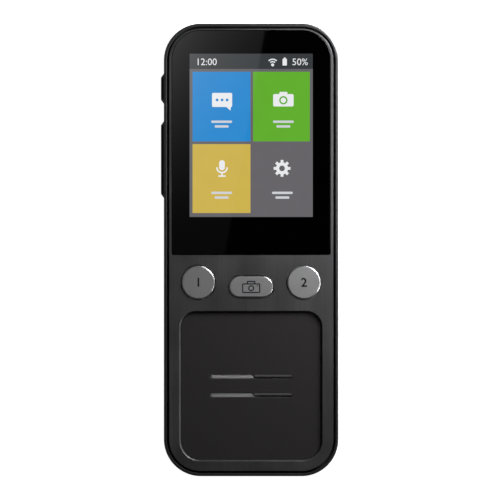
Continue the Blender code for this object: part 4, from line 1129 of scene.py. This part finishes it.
    def hang_card(self) -> None:
        """Hangs the slanted card whose reflection lies on the left of the glass."""
        drop = self.card_level / self.camera_height
        grow = 1.0 + drop
        left, right = self.card_left * grow, self.card_head_right * grow
        foot, head = (end * grow for end in self.card_ends)
        middle = ((left + right) / 2 - self.picture_shift * drop, (head + foot) / 2, self.card_level)
        card = self.sheet("card", middle, (right - left, head - foot, 1.0))
        pick(card, Pick.CORNERS, lambda corner, _: corner.x > 0 and corner.y < 0)
        bpy.ops.transform.translate(value=((self.card_foot_right - self.card_head_right) * grow, 0.0, 0.0))
        bpy.ops.object.mode_set(mode="OBJECT")
        recipe = Recipe("card_glow")
        place = recipe.add("ShaderNodeTexCoord")
        split = recipe.add("ShaderNodeSeparateXYZ")
        recipe.link(place.outputs["Object"], split.inputs["Vector"])
        low, high = self.card_rise
        rise = recipe.spread(split.outputs["Y"], 0.0, 1.0, (low * grow, high * grow))
        curve = recipe.calculate("POWER", rise, self.card_power)
        start = self.card_fall * self.card_full
        lean = recipe.calculate("MULTIPLY_ADD", split.outputs["X"], -self.card_fall / grow, start)
        glow = recipe.calculate("MULTIPLY", curve, recipe.calculate("EXPONENT", lean))
        level = recipe.calculate("MULTIPLY_ADD", glow, self.card_glow, self.card_least)
        recipe.drive(level, "Emission Strength")
        recipe.put(Base_Color=(0, 0, 0, 1), Specular_IOR_Level=0.0, Emission_Color=(1, 1, 1, 1))
        self.set_stage(card, recipe.material, ("camera", "diffuse", "transmission", "shadow"))

    def hang_side_card(self) -> None:
        """Hangs the low card on the right that brushed and blasted metal reflects, but not the glass."""
        card = self.sheet("side_card", self.side_place, self.side_size)
        glow = self.even_white("side_card_glow", 0.0, self.side_glow)
        self.set_stage(card, glow, ("camera", "diffuse", "transmission", "shadow"))


PANE = rounded(0.0, 32.0, 23.66, 33.48, 8.6, 0.5)
PANEL = rounded(0.0, -40.56, 21.22, 22.34, 4.8, 6.0)
TALK_CAP = rounded(0.0, 0.0, 4.9, 4.9, 4.9)
CAPS: dict[str, Outline] = {
    "talk_button_left": TALK_CAP,
    "talk_button_right": TALK_CAP,
    "camera_button": rounded(0.0, 0.0, 6.5, 3.1, 3.1),
}


def cap_outline(node: str) -> Outline:
    """Gives the outline of a button's cap, about the middle of its node."""
    low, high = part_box(node)
    return replace(CAPS[node], x=(low.x + high.x) / 2, y=(low.y + high.y) / 2)


@dataclass
class Housing:
    """The band, the brushed face, the rear shell and what is seen at the charging end and the back."""

    bench: Bench
    body: Outline = rounded(0.0, 0.0, 26.03, 67.48, 11.0)
    pane: Outline = PANE
    panel: Outline = PANEL
    front: float = 12.0 * MM
    plate_base: float = 10.2 * MM
    rim_width: float = 0.9 * MM
    rim_edge: float = 0.4 * MM
    rim_inner_edge: float = 0.14 * MM
    wall: float = 1.8 * MM
    wall_over: float = 0.3 * MM
    ledge: float = 9.8 * MM
    key_level: float = 6.875 * MM
    power_window: Outline = rounded(0.0, 0.0, 1.7, 4.85, 1.4)
    volume_window: Outline = rounded(0.0, 0.0, 1.7, 11.8, 1.4)
    socket_window: Outline = rounded(0.0, 0.0, 4.62, 1.75, 1.65)
    socket_level: float = 4.1 * MM
    hole_radius: float = 0.5 * MM
    lower_hole: Span = (7.5 * MM, 4.35 * MM)
    upper_hole: Span = (6.0 * MM, 8.6 * MM)
    gap: float = 0.65 * MM
    glass_fit: float = 0.1 * MM
    glass_floor: float = 10.7 * MM
    module_half: float = 21.36 * MM
    module_fit: float = 0.3 * MM
    module_corner: float = 0.7 * MM
    button_fit: float = 0.4 * MM
    mouth: float = 0.04 * MM
    panel_mouth: float = 0.1 * MM
    plate_edge: float = 0.1 * MM
    panel_slope: float = 0.35 * MM
    panel_recess: float = 0.9 * MM

    def build(self) -> None:
        """Builds the outer pieces."""
        self.band()
        self.face()
        self.bench.refine("rear_cover", "rear_shell", REAR_PLASTIC)
        self.bench.refine("usb_shell", "socket_shell", SLOT_FINISHES["bright_steel"])
        self.bench.refine("usb_tongue", "socket_tongue", SLOT_FINISHES["black_plastic"])
        self.bench.refine("camera_ring", "lens_ring", ANODISED_RIM, 0.04 * MM)
        self.bench.refine("camera_window", "lens_window", BLACK_GLASS)
        self.bench.refine("flash_lens", "light_cover", SLOT_FINISHES["clear_plastic"])

    def band(self) -> None:
        """Models the band round the body, and keeps the web inside it."""
        low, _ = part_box("side_frame")
        ring = slab("band", self.body, low.z, self.front, steps=32)
        soften(ring, self.body, self.front, self.rim_edge, steps=6)
        inner = self.body.grown(-self.rim_width)
        tools = [
            slab("body_space", self.body.grown(-self.wall), low.z - OVER, self.front, steps=32),
            slab("face_space", inner, self.ledge, self.front + 2 * OVER, steps=32),
            *self.wall_tools(),
        ]
        shape(ring, tools, Cut.AWAY)
        soften(ring, inner, self.front, self.rim_inner_edge, steps=2)
        web = self.bench.copy("side_frame", "web", 0.0)
        space = self.body.grown(-self.wall - OVER / 10)
        shape(web, [slab("inside", space, low.z - OVER, self.ledge - OVER)], Cut.KEEP)
        self.bench.hang(web, "housing", ANODISED_RIM)
        self.bench.hang(ring, "housing", ANODISED_RIM, ("side_frame",))

    def wall_tools(self) -> list[Piece]:
        """Models what goes through the band's walls: both keys, the socket and two microphone holes.

        Returns:
            The tools.
        """
        reach = self.wall + self.wall_over
        tools = []
        for node, outline in (("power_key", self.power_window), ("volume_rocker", self.volume_window)):
            low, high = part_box(node)
            place = (-self.body.half_width, (low.y + high.y) / 2, self.key_level)
            window = slab(f"{node}_window", outline, -reach, reach, steps=8)
            tools.append(lay(window, OUT_OF_LEFT, place))
        place = (0.0, -self.body.half_length, self.socket_level)
        window = slab("socket_window", self.socket_window, -reach, reach, steps=12)
        tools.append(lay(window, OUT_OF_FOOT, place))
        for end, (across, level) in ((-1, self.lower_hole), (1, self.upper_hole)):
            hole = disc("hole", (0.0, 0.0, -reach), self.hole_radius, reach)
            tools.append(lay(hole, OUT_OF_FOOT, (across, end * self.body.half_length, level)))
        return tools

    def face(self) -> None:
        """Models the brushed plate with all that it leaves open."""
        outer = self.body.grown(-self.rim_width - self.gap)
        plate = slab("brushed_face", outer, self.plate_base, self.front, steps=32)
        soften(plate, outer, self.front, self.plate_edge, steps=3)
        low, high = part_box("lcd_panel")
        module = Outline(
            0.0,
            (low.y + high.y) / 2,
            self.module_half + self.module_fit,
            (high.y - low.y) / 2 + self.module_fit,
            self.module_corner,
        )
        base, above = self.plate_base - OVER, self.front + OVER
        hole_top = self.front - self.panel_recess + OVER / 4
        lip = 2 * self.panel_mouth
        tools = [
            slab("glass_pocket", self.pane.grown(self.glass_fit), self.glass_floor, above, steps=24),
            slab("module_window", module, base, self.glass_floor + OVER, steps=8),
            slab("panel_hole", self.panel.grown(-self.panel_slope), base, hole_top, steps=24),
            plug("panel_recess", self.panel, self.front, self.panel_slope, self.panel_recess),
            plug("panel_mouth", self.panel.grown(self.panel_mouth), self.front, lip, lip),
        ]
        for node in CAPS:
            hole = cap_outline(node).grown(self.button_fit)
            tools += pit(f"{node}_hole", hole, base, self.front, self.mouth)
        shape(plate, tools, Cut.AWAY)
        self.bench.hang(plate, "housing", BRUSHED_PLATE, ("front_plate",))


@dataclass
class Keys:
    """The keys on the left side."""

    bench: Bench
    edge: float = 0.06 * MM

    def build(self) -> None:
        """Builds the power key and the volume rocker."""
        self.bench.refine("power_key", "power_cap", ANODISED_RIM, self.edge)
        self.bench.refine("volume_rocker", "volume_cap", ANODISED_RIM, self.edge)


@dataclass
class Buttons:
    """The three buttons on the front and their engraved marks."""

    bench: Bench
    digit_height: float = 2.6 * MM
    digit_weight: float = 0.07 * MM
    chamfer: float = 0.26 * MM
    chamfer_rise: Span = (0.3, 0.95)
    edge: float = 0.03 * MM
    flange_reach: float = 0.7 * MM
    flange_base: float = 9.6 * MM
    flange_top: float = 10.1 * MM
    nub_radius: float = 1.0 * MM
    mark_depth: float = 0.06 * MM
    mark_sink: float = 0.012 * MM
    line: float = 0.34 * MM
    sign_width: float = 5.4 * MM
    sign_height: float = 2.9 * MM
    sign_corner: float = 0.35 * MM
    hump_width: float = 2.5 * MM
    hump_height: float = 0.9 * MM
    hump_corner: float = 0.2 * MM
    lens_radius: float = 0.9 * MM
    dot_radius: float = 0.2 * MM
    dot_shares: Span = (0.34, 0.26)

    def build(self) -> None:
        """Builds the caps and their marks."""
        for side, digit in (("left", "1"), ("right", "2")):
            node = f"talk_button_{side}"
            edge = cap_outline(node)
            place = (edge.x, edge.y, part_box(node)[1].z)
            sizes = (self.digit_height, place, self.mark_depth, self.digit_weight)
            mark = letters(f"{side}_digit", digit, *sizes)
            self.engrave(node, f"{side}_talk_cap", mark)
        node = "camera_button"
        self.engrave(node, "camera_cap", self.camera_sign(cap_outline(node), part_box(node)[1].z))

    def cap(self, node: str, name: str) -> Piece:
        """Models a cap over its flange and nub.

        Args:
            node: The button's node.
            name: The cap's name.

        Returns:
            The cap.
        """
        low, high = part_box(node)
        edge = cap_outline(node)
        cap = slab(name, edge, self.flange_top - self.edge, high.z, steps=32)
        soften(cap, edge, high.z, self.chamfer, steps=1)
        soften(cap, edge.grown(-self.chamfer), high.z, self.edge, steps=2)
        flange = slab("flange", edge.grown(self.flange_reach), self.flange_base, self.flange_top)
        stem = edge.grown(self.nub_radius - edge.upper_radius)
        nub = slab("nub", stem, low.z, self.flange_base + self.edge, steps=12)
        return shape(cap, [flange, nub], Cut.JOIN)

    def engrave(self, node: str, name: str, mark: Piece) -> None:
        """Cuts a mark into a cap and fills it with dark colour.

        Args:
            node: The button's node.
            name: The cap's name.
            mark: The mark, whose upper face is level with the cap's.
        """
        cap = self.cap(node, name)
        tool = mark.copy()
        tool.data = mark.data.copy()
        bpy.context.scene.collection.objects.link(tool)
        shape(cap, [lay(tool, NO_TURN, (0.0, 0.0, self.mark_depth / 2))], Cut.AWAY)
        self.bench.hang(cap, self.bench.body_of(node), BUTTON_METAL, (node,))
        self.brighten_chamfer(cap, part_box(node)[1].z)
        lay(mark, NO_TURN, (0.0, 0.0, -self.mark_sink))
        self.bench.hang(mark, self.bench.body_of(node), DARK_MARK)

    def brighten_chamfer(self, cap: Piece, top: float) -> None:
        """Gives the chamfer round a cap's face its bright cut finish.

        Args:
            cap: The cap.
            top: The level of its face.
        """
        base, (least, most) = top - self.chamfer, self.chamfer_rise
        cap.data.materials.append(BRIGHT_CHAMFER.material())
        pick(cap, Pick.FACES, lambda middle, normal: least < normal.z < most and middle.z > base)
        cap.active_material_index = 1
        bpy.ops.object.material_slot_assign()
        bpy.ops.object.mode_set(mode="OBJECT")

    def camera_sign(self, edge: Outline, top: float) -> Piece:
        """Models the camera pictogram in plain lines.

        Args:
            edge: The outline of the button's cap.
            top: The level of its face.

        Returns:
            The pictogram.
        """
        x, y = edge.x, edge.y - self.hump_height / 2
        base, below, above = top - self.mark_depth, top - self.mark_depth - OVER, top + OVER
        shoulder = y + self.sign_height / 2
        box = Outline(x, y, self.sign_width / 2, self.sign_height / 2, self.sign_corner)
        across, along = self.hump_width / 2, self.hump_height / 2
        hump = Outline(x, shoulder + along - self.line / 2, across, along, self.hump_corner)
        open_half = along - 0.75 * self.line
        inside = Outline(x, shoulder + open_half, across - self.line, open_half, 0.0)
        sign = slab("camera_mark", box, base, top, steps=4)
        shape(sign, [slab("hump", hump, base, top, steps=4)], Cut.JOIN)
        holes = [slab("hole", part, below, above, steps=4) for part in (box.grown(-self.line), inside)]
        shape(sign, holes, Cut.AWAY)
        ring = disc("ring", (x, y, base), self.lens_radius, top)
        shape(ring, [disc("hole", (x, y, below), self.lens_radius - self.line, above)], Cut.AWAY)
        place = (x + self.sign_width * self.dot_shares[0], y + self.sign_height * self.dot_shares[1], base)
        return merged("camera_mark", [sign, ring, disc("dot", place, self.dot_radius, top, steps=12)])


@dataclass
class SpeakerFront:
    """The recessed inlay with its two slots, the woven wire in them, and a pale shelf whose colour is
    painted light.
    """

    bench: Bench
    opening: Outline = PANEL
    top: float = 11.1 * MM
    inset: float = 0.45 * MM
    flange_reach: float = 1.2 * MM
    flange_base: float = 9.5 * MM
    flange_top: float = 10.1 * MM
    pocket_half: Span = (13.0 * MM, 4.6 * MM)
    pocket_corner: float = 1.2 * MM
    pocket_top: float = 10.0 * MM
    slot_length: float = 24.4 * MM
    slot_width: float = 1.25 * MM
    slot_spacing: float = 5.5 * MM
    slot_mouth: float = 0.1 * MM
    woven_share: float = 0.54
    wire_radius: float = 0.085 * MM
    wire_pitch: float = 0.56 * MM
    wire_drop: float = 0.16 * MM
    shelf_drop: float = 0.06 * MM
    shelf_corner: float = 0.1 * MM

    def build(self) -> None:
        """Builds the inlay, the wires and, beside them in each slot, the pale shelf whose colour is painted
        light.
        """
        rows = [self.opening.y + side * self.slot_spacing / 2 for side in (-1, 1)]
        self.inlay(rows)
        wires = [self.wires(y, lean) for y in rows for lean in (-1, 1)]
        shelves = [self.shelf(y) for y in rows]
        self.bench.hang(merged("speaker_weave", wires), "housing", WIRE_STEEL)
        # The shelves' pale finish is painted light on the upper half of each slot.
        self.bench.hang(merged("slot_shelves", shelves), "housing", SHELF_PAINTED_LIGHT)

    def inlay(self, rows: list[float]) -> None:
        """Models the inlay, with its flange below the face and the grille's pocket behind the slots.

        Args:
            rows: The slots' places along the body.
        """
        edge = self.opening.grown(-self.inset)
        inlay = slab("speaker_inlay", edge, self.flange_base, self.top, steps=24)
        flange = slab("flange", edge.grown(self.flange_reach), self.flange_base, self.flange_top)
        shape(inlay, [flange], Cut.JOIN)
        pocket = Outline(0.0, self.opening.y, *self.pocket_half, self.pocket_corner)
        tools = [slab("pocket", pocket, self.flange_base - OVER, self.pocket_top, steps=8)]
        for y in rows:
            slot = Outline(0.0, y, self.slot_length / 2, self.slot_width / 2, self.slot_width / 2)
            tools += pit("slot", slot, self.pocket_top - OVER, self.top, self.slot_mouth, steps=12)
        shape(inlay, tools, Cut.AWAY)
        self.bench.hang(inlay, self.bench.body_of("speaker_panel"), PANEL_PLASTIC, ("speaker_panel",))

    def shelf(self, y: float) -> Piece:
        """Models the pale shelf along the upper half of a slot, beside the wires; its colour is painted
        light on that half.

        Args:
            y: The slot's middle along the body.

        Returns:
            The shelf.
        """
        half = self.slot_length * (1 - self.woven_share) / 2
        quarter = self.slot_width / 4
        shelf = Outline(self.slot_length / 2 - half, y + quarter, half, quarter, self.shelf_corner)
        return slab("shelf", shelf, self.pocket_top, self.top - self.shelf_drop, steps=4)

    def wires(self, y: float, lean: int) -> Piece:
        """Lays the wires that lean one way in one slot.

        Args:
            y: The slot's middle along the body.
            lean: 1 or -1, the way that they lean.

        Returns:
            The wires.
        """
        deselect()
        reach = self.slot_width - 2 * self.wire_radius
        level = self.top - self.wire_drop - self.wire_radius * (2 - lean)
        bpy.ops.mesh.primitive_cylinder_add(
            vertices=10,
            radius=self.wire_radius,
            depth=reach * math.sqrt(2),
            location=(reach / 2 + self.wire_radius - self.slot_length / 2, y, level),
            rotation=(math.pi / 2, 0, lean * math.pi / 4),
        )
        wire = claim(f"wire_{lean}")
        row = wire.modifiers.new("row", "ARRAY")
        row.use_relative_offset = False
        row.use_constant_offset = True
        row.constant_offset_displace = (self.wire_pitch, 0, 0)
        row.count = int((self.slot_length * self.woven_share - reach) / self.wire_pitch) + 1
        bpy.ops.object.modifier_apply(modifier=row.name)
        return wire


@dataclass(frozen=True)
class Sign(ABC):
    """A flat sign of the picture, at a place and between two levels. Its sizes are taken from its middle."""

    name: str
    x: float
    y: float
    base: float
    top: float

    @abstractmethod
    def model(self) -> Piece:
        """Models the sign."""

    def plate(self, outline: Outline, steps: int = 4, past: float = 0.0) -> Piece:
        """Models a part from its outline about the sign's middle, past both its faces if it is a tool."""
        placed = replace(outline, x=self.x + outline.x, y=self.y + outline.y)
        return slab(self.name, placed, self.base - past, self.top + past, steps)

    def circle(self, radius: float, steps: int = 32, across: float = 0.0, past: float = 0.0) -> Piece:
        """Models a round part right of the sign's middle, past both its faces if it is a tool."""
        return disc(self.name, (self.x + across, self.y, self.base - past), radius, self.top + past, steps)


@dataclass(frozen=True)
class Bubble(Sign):
    """A speech bubble with three dots in it."""

    body: Outline = rounded(0.0, 0.0, 3.0, 2.1, 0.4)
    tail: float = 1.1 * MM
    tail_place: Span = (2.1 * MM, -2.1 * MM)
    tail_turn: float = math.radians(200)
    dot: float = 0.42 * MM
    dot_pitch: float = 1.5 * MM

    def model(self) -> Piece:
        """Models the sign.

        Returns:
            The sign.
        """
        body = self.plate(self.body, steps=5)
        place = (self.x + self.tail_place[0], self.y + self.tail_place[1], self.base)
        shape(body, [disc("tail", place, self.tail, self.top, steps=3, turn=self.tail_turn)], Cut.JOIN)
        places = (-self.dot_pitch, 0.0, self.dot_pitch)
        dots = [self.circle(self.dot, steps=20, across=across, past=OVER / 2) for across in places]
        return shape(body, dots, Cut.AWAY)


@dataclass(frozen=True)
class Camera(Sign):
    """A camera with its lens left open."""

    body: Outline = rounded(0.0, 0.0, 3.05, 1.85, 0.45)
    hump: Outline = rounded(0.0, 1.7, 1.2, 0.8, 0.3)
    hole: float = 1.25 * MM
    lens: float = 0.8 * MM

    def model(self) -> Piece:
        """Models the sign.

        Returns:
            The sign.
        """
        body = shape(self.plate(self.body, steps=5), [self.plate(self.hump)], Cut.JOIN)
        shape(body, [self.circle(self.hole, past=OVER / 2)], Cut.AWAY)
        return merged(self.name, [body, self.circle(self.lens)])


@dataclass(frozen=True)
class Microphone(Sign):
    """A microphone on its stand."""

    head: Outline = rounded(0.0, 0.95, 0.85, 1.5, 0.85)
    cup: Outline = rounded(0.0, 0.45, 1.75, 1.95, 1.75)
    line: float = 0.45 * MM
    open_half: Outline = rounded(0.0, 2.65, 3.0, 2.35, 0.0)
    stem: Outline = rounded(0.0, -1.85, 0.22, 0.5, 0.0)
    foot: Outline = rounded(0.0, -2.3, 1.1, 0.22, 0.15)

    def model(self) -> Piece:
        """Models the sign.

        Returns:
            The sign.
        """
        head = self.plate(self.head, steps=8)
        cup = self.plate(self.cup, steps=10)
        inside = self.plate(self.cup.grown(-self.line), steps=10, past=OVER / 2)
        shape(cup, [inside, self.plate(self.open_half, past=OVER / 2)], Cut.AWAY)
        shape(cup, [self.plate(self.stem), self.plate(self.foot, steps=3)], Cut.JOIN)
        return merged(self.name, [head, cup])


@dataclass(frozen=True)
class Gear(Sign):
    """A gear wheel with eight teeth and a hole."""

    wheel: float = 1.8 * MM
    teeth: Outline = rounded(0.0, 0.0, 0.42, 2.5, 0.0)
    hole: float = 0.85 * MM

    def model(self) -> Piece:
        """Models the sign, each pair of teeth as one bar.

        Returns:
            The sign.
        """
        wheel = self.circle(self.wheel, steps=48)
        about = (self.x, self.y, self.base)
        bars = [spin(self.plate(self.teeth), i * math.pi / 4, about) for i in range(4)]
        shape(wheel, bars, Cut.JOIN)
        return shape(wheel, [self.circle(self.hole, past=OVER / 2)], Cut.AWAY)


@dataclass(frozen=True)
class Label(Sign):
    """Two plain bars, the upper one longer than the lower."""

    upper: Outline = rounded(0.0, 0.7, 3.1, 0.35, 0.3)
    lower: Outline = rounded(0.0, -0.7, 2.1, 0.35, 0.3)

    def model(self) -> Piece:
        """Models the sign."""
        return merged(self.name, [self.plate(self.upper), self.plate(self.lower)])


@dataclass(frozen=True)
class Battery(Sign):
    """An upright battery."""

    cell: Outline = rounded(0.0, -0.1, 0.65, 1.0, 0.15)
    cap: Outline = rounded(0.0, 1.0, 0.3, 0.25, 0.05)

    def model(self) -> Piece:
        """Models the sign."""
        return shape(self.plate(self.cell, steps=3), [self.plate(self.cap, steps=2)], Cut.JOIN)


@dataclass(frozen=True)
class Wireless(Sign):
    """A dot with two arcs above it, about the dot's middle."""

    dot: float = 0.45 * MM
    arcs: Span = (1.15 * MM, 1.85 * MM)
    line: float = 0.35 * MM
    fan: Outline = rounded(2.0, 2.0, 2.0, 2.0, 0.0)

    def model(self) -> Piece:
        """Models the sign.

        Returns:
            The sign.
        """
        waves = [self.circle(self.dot, steps=40)]
        for radius in self.arcs:
            wave = self.circle(radius, steps=40)
            shape(wave, [self.circle(radius - self.line, steps=40, past=OVER / 2)], Cut.AWAY)
            fan = spin(self.plate(self.fan, past=OVER / 2), -math.pi / 4, (self.x, self.y, self.base))
            waves.append(shape(wave, [fan], Cut.KEEP))
        return merged(self.name, waves)


@dataclass
class Screen:
    """The glass and the picture that shines through it.

    The picture's areas and signs are thin plates in layers on the glass, each layer a hair higher than
    the one below.
    """

    bench: Bench
    pane: Outline = PANE
    pane_edge: float = 0.12 * MM
    layer: float = 0.012 * MM
    half_width: float = 18.36 * MM
    foot: float = 9.82 * MM
    head: float = 58.48 * MM
    corner: float = 0.15 * MM
    bar_height: float = 4.55 * MM
    column_shift: float = 0.18 * MM
    column_gap: float = 0.78 * MM
    side_margin: float = 0.88 * MM
    upper_tiles: Span = (32.33 * MM, 53.1 * MM)
    lower_tiles: Span = (10.98 * MM, 31.53 * MM)
    tile_corner: float = 0.1 * MM
    bubble_place: Span = (-8.67 * MM, 44.7 * MM)
    camera_place: Span = (9.6 * MM, 44.6 * MM)
    microphone_place: Span = (-8.7 * MM, 24.3 * MM)
    gear_place: Span = (9.2 * MM, 24.3 * MM)
    upper_labels: Triple = (-8.8 * MM, 9.6 * MM, 37.5 * MM)
    lower_labels: Triple = (-8.8 * MM, 9.3 * MM, 16.3 * MM)
    status_drop: float = 0.15 * MM
    digit_height: float = 2.0 * MM
    clock_x: float = -13.1 * MM
    wireless_x: float = 6.4 * MM
    wireless_drop: float = 0.9 * MM
    battery_x: float = 10.0 * MM
    charge_x: float = 14.6 * MM
    glass_top: float = 0.0

    def build(self) -> None:
        """Builds the glass and the picture."""
        low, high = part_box("cover_glass")
        self.glass_top = high.z
        pane = slab("glass_pane", self.pane, low.z, high.z, steps=24)
        soften(pane, self.pane, high.z, self.pane_edge, steps=3)
        self.bench.hang(pane, "housing", BLACK_GLASS, ("cover_glass",))
        sides = (-self.half_width, self.half_width)
        self.area("picture_ground", sides, (self.foot, self.head), 1, PICTURE_GREY)
        self.area("status_bar", sides, (self.head - self.bar_height, self.head), 2, PICTURE_BAR)
        self.tiles()
        self.signs()
        self.status()

    def level(self, layer: int) -> float:
        """Gives the height of a layer's upper face."""
        return self.glass_top + self.layer * layer

    def area(self, name: str, sides: Span, ends: Span, layer: int, finish: Finish) -> None:
        """Lays an area of the picture.

        Args:
            name: The piece's name.
            sides: Its left and right sides.
            ends: Its foot and its head.
            layer: Its layer.
            finish: Its finish.
        """
        (x, half_width), (y, half_length) = (((a + b) / 2, (b - a) / 2) for a, b in (sides, ends))
        corner = self.tile_corner if name.startswith("tile") else self.corner
        outline = Outline(x, y, half_width, half_length, corner)
        piece = slab(name, outline, self.level(layer - 1), self.level(layer), steps=6)
        self.bench.hang(piece, "housing", finish)

    def tiles(self) -> None:
        """Lays the four coloured areas."""
        inner = self.column_gap / 2
        edge = self.half_width - self.side_margin
        for finish, side, ends in (
            (PICTURE_BLUE, -1, self.upper_tiles),
            (PICTURE_GREEN, 1, self.upper_tiles),
            (PICTURE_YELLOW, -1, self.lower_tiles),
            (PICTURE_GREY, 1, self.lower_tiles),
        ):
            sides = tuple(sorted((side * edge, side * inner + self.column_shift)))
            self.area(finish.name.replace("picture", "tile"), sides, ends, 2, finish)

    def signs(self) -> None:
        """Lays a sign and two plain bars on each coloured area."""
        levels = (self.level(2), self.level(3))
        for sign in (
            Bubble("bubble_sign", *self.bubble_place, *levels),
            Camera("camera_sign", *self.camera_place, *levels),
            Microphone("microphone_sign", *self.microphone_place, *levels),
            Gear("gear_sign", *self.gear_place, *levels),
        ):
            self.bench.hang(sign.model(), "housing", PICTURE_WHITE)
        places = [(x, row[2]) for row in (self.upper_labels, self.lower_labels) for x in row[:2]]
        for number, place in enumerate(places, 1):
            self.bench.hang(Label(f"label_{number}", *place, *levels).model(), "housing", PICTURE_LABEL)

    def status(self) -> None:
        """Lays the digits and small signs of the status bar."""
        y = self.head - self.bar_height / 2 - self.status_drop
        levels = (self.level(2), self.level(3))
        for piece in (
            letters("clock_digits", "12:00", self.digit_height, (self.clock_x, y, levels[1]), self.layer),
            letters("charge_digits", "50%", self.digit_height, (self.charge_x, y, levels[1]), self.layer),
            Battery("battery_sign", self.battery_x, y, *levels).model(),
            Wireless("wireless_sign", self.wireless_x, y - self.wireless_drop, *levels).model(),
        ):
            self.bench.hang(piece, "housing", PICTURE_WHITE)


@dataclass
class Inside:
    """The nodes that aren't replaced: each gets the finish of its slot."""

    bench: Bench

    def build(self) -> None:
        """Dresses the nodes."""
        for name, node in self.bench.frame["nodes"].items():
            if node.hide_render:
                continue
            SLOT_FINISHES[self.bench.slot_of(name)].dress(node)
            LOG.info("dressed %s", name)


def main() -> None:
    """Builds the studio and every sub-assembly."""
    logging.basicConfig(level=logging.INFO, format="%(name)s: %(message)s")
    for thing in list(bpy.data.objects):
        bpy.data.objects.remove(thing)
    bench = Bench(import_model())
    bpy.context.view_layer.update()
    Studio().build()
    for part in (Housing, Keys, Buttons, SpeakerFront, Screen, Inside):
        part(bench).build()
    deselect()
    LOG.info("built %d pieces", len(bench.built))


if __name__ == "__main__":
    main()
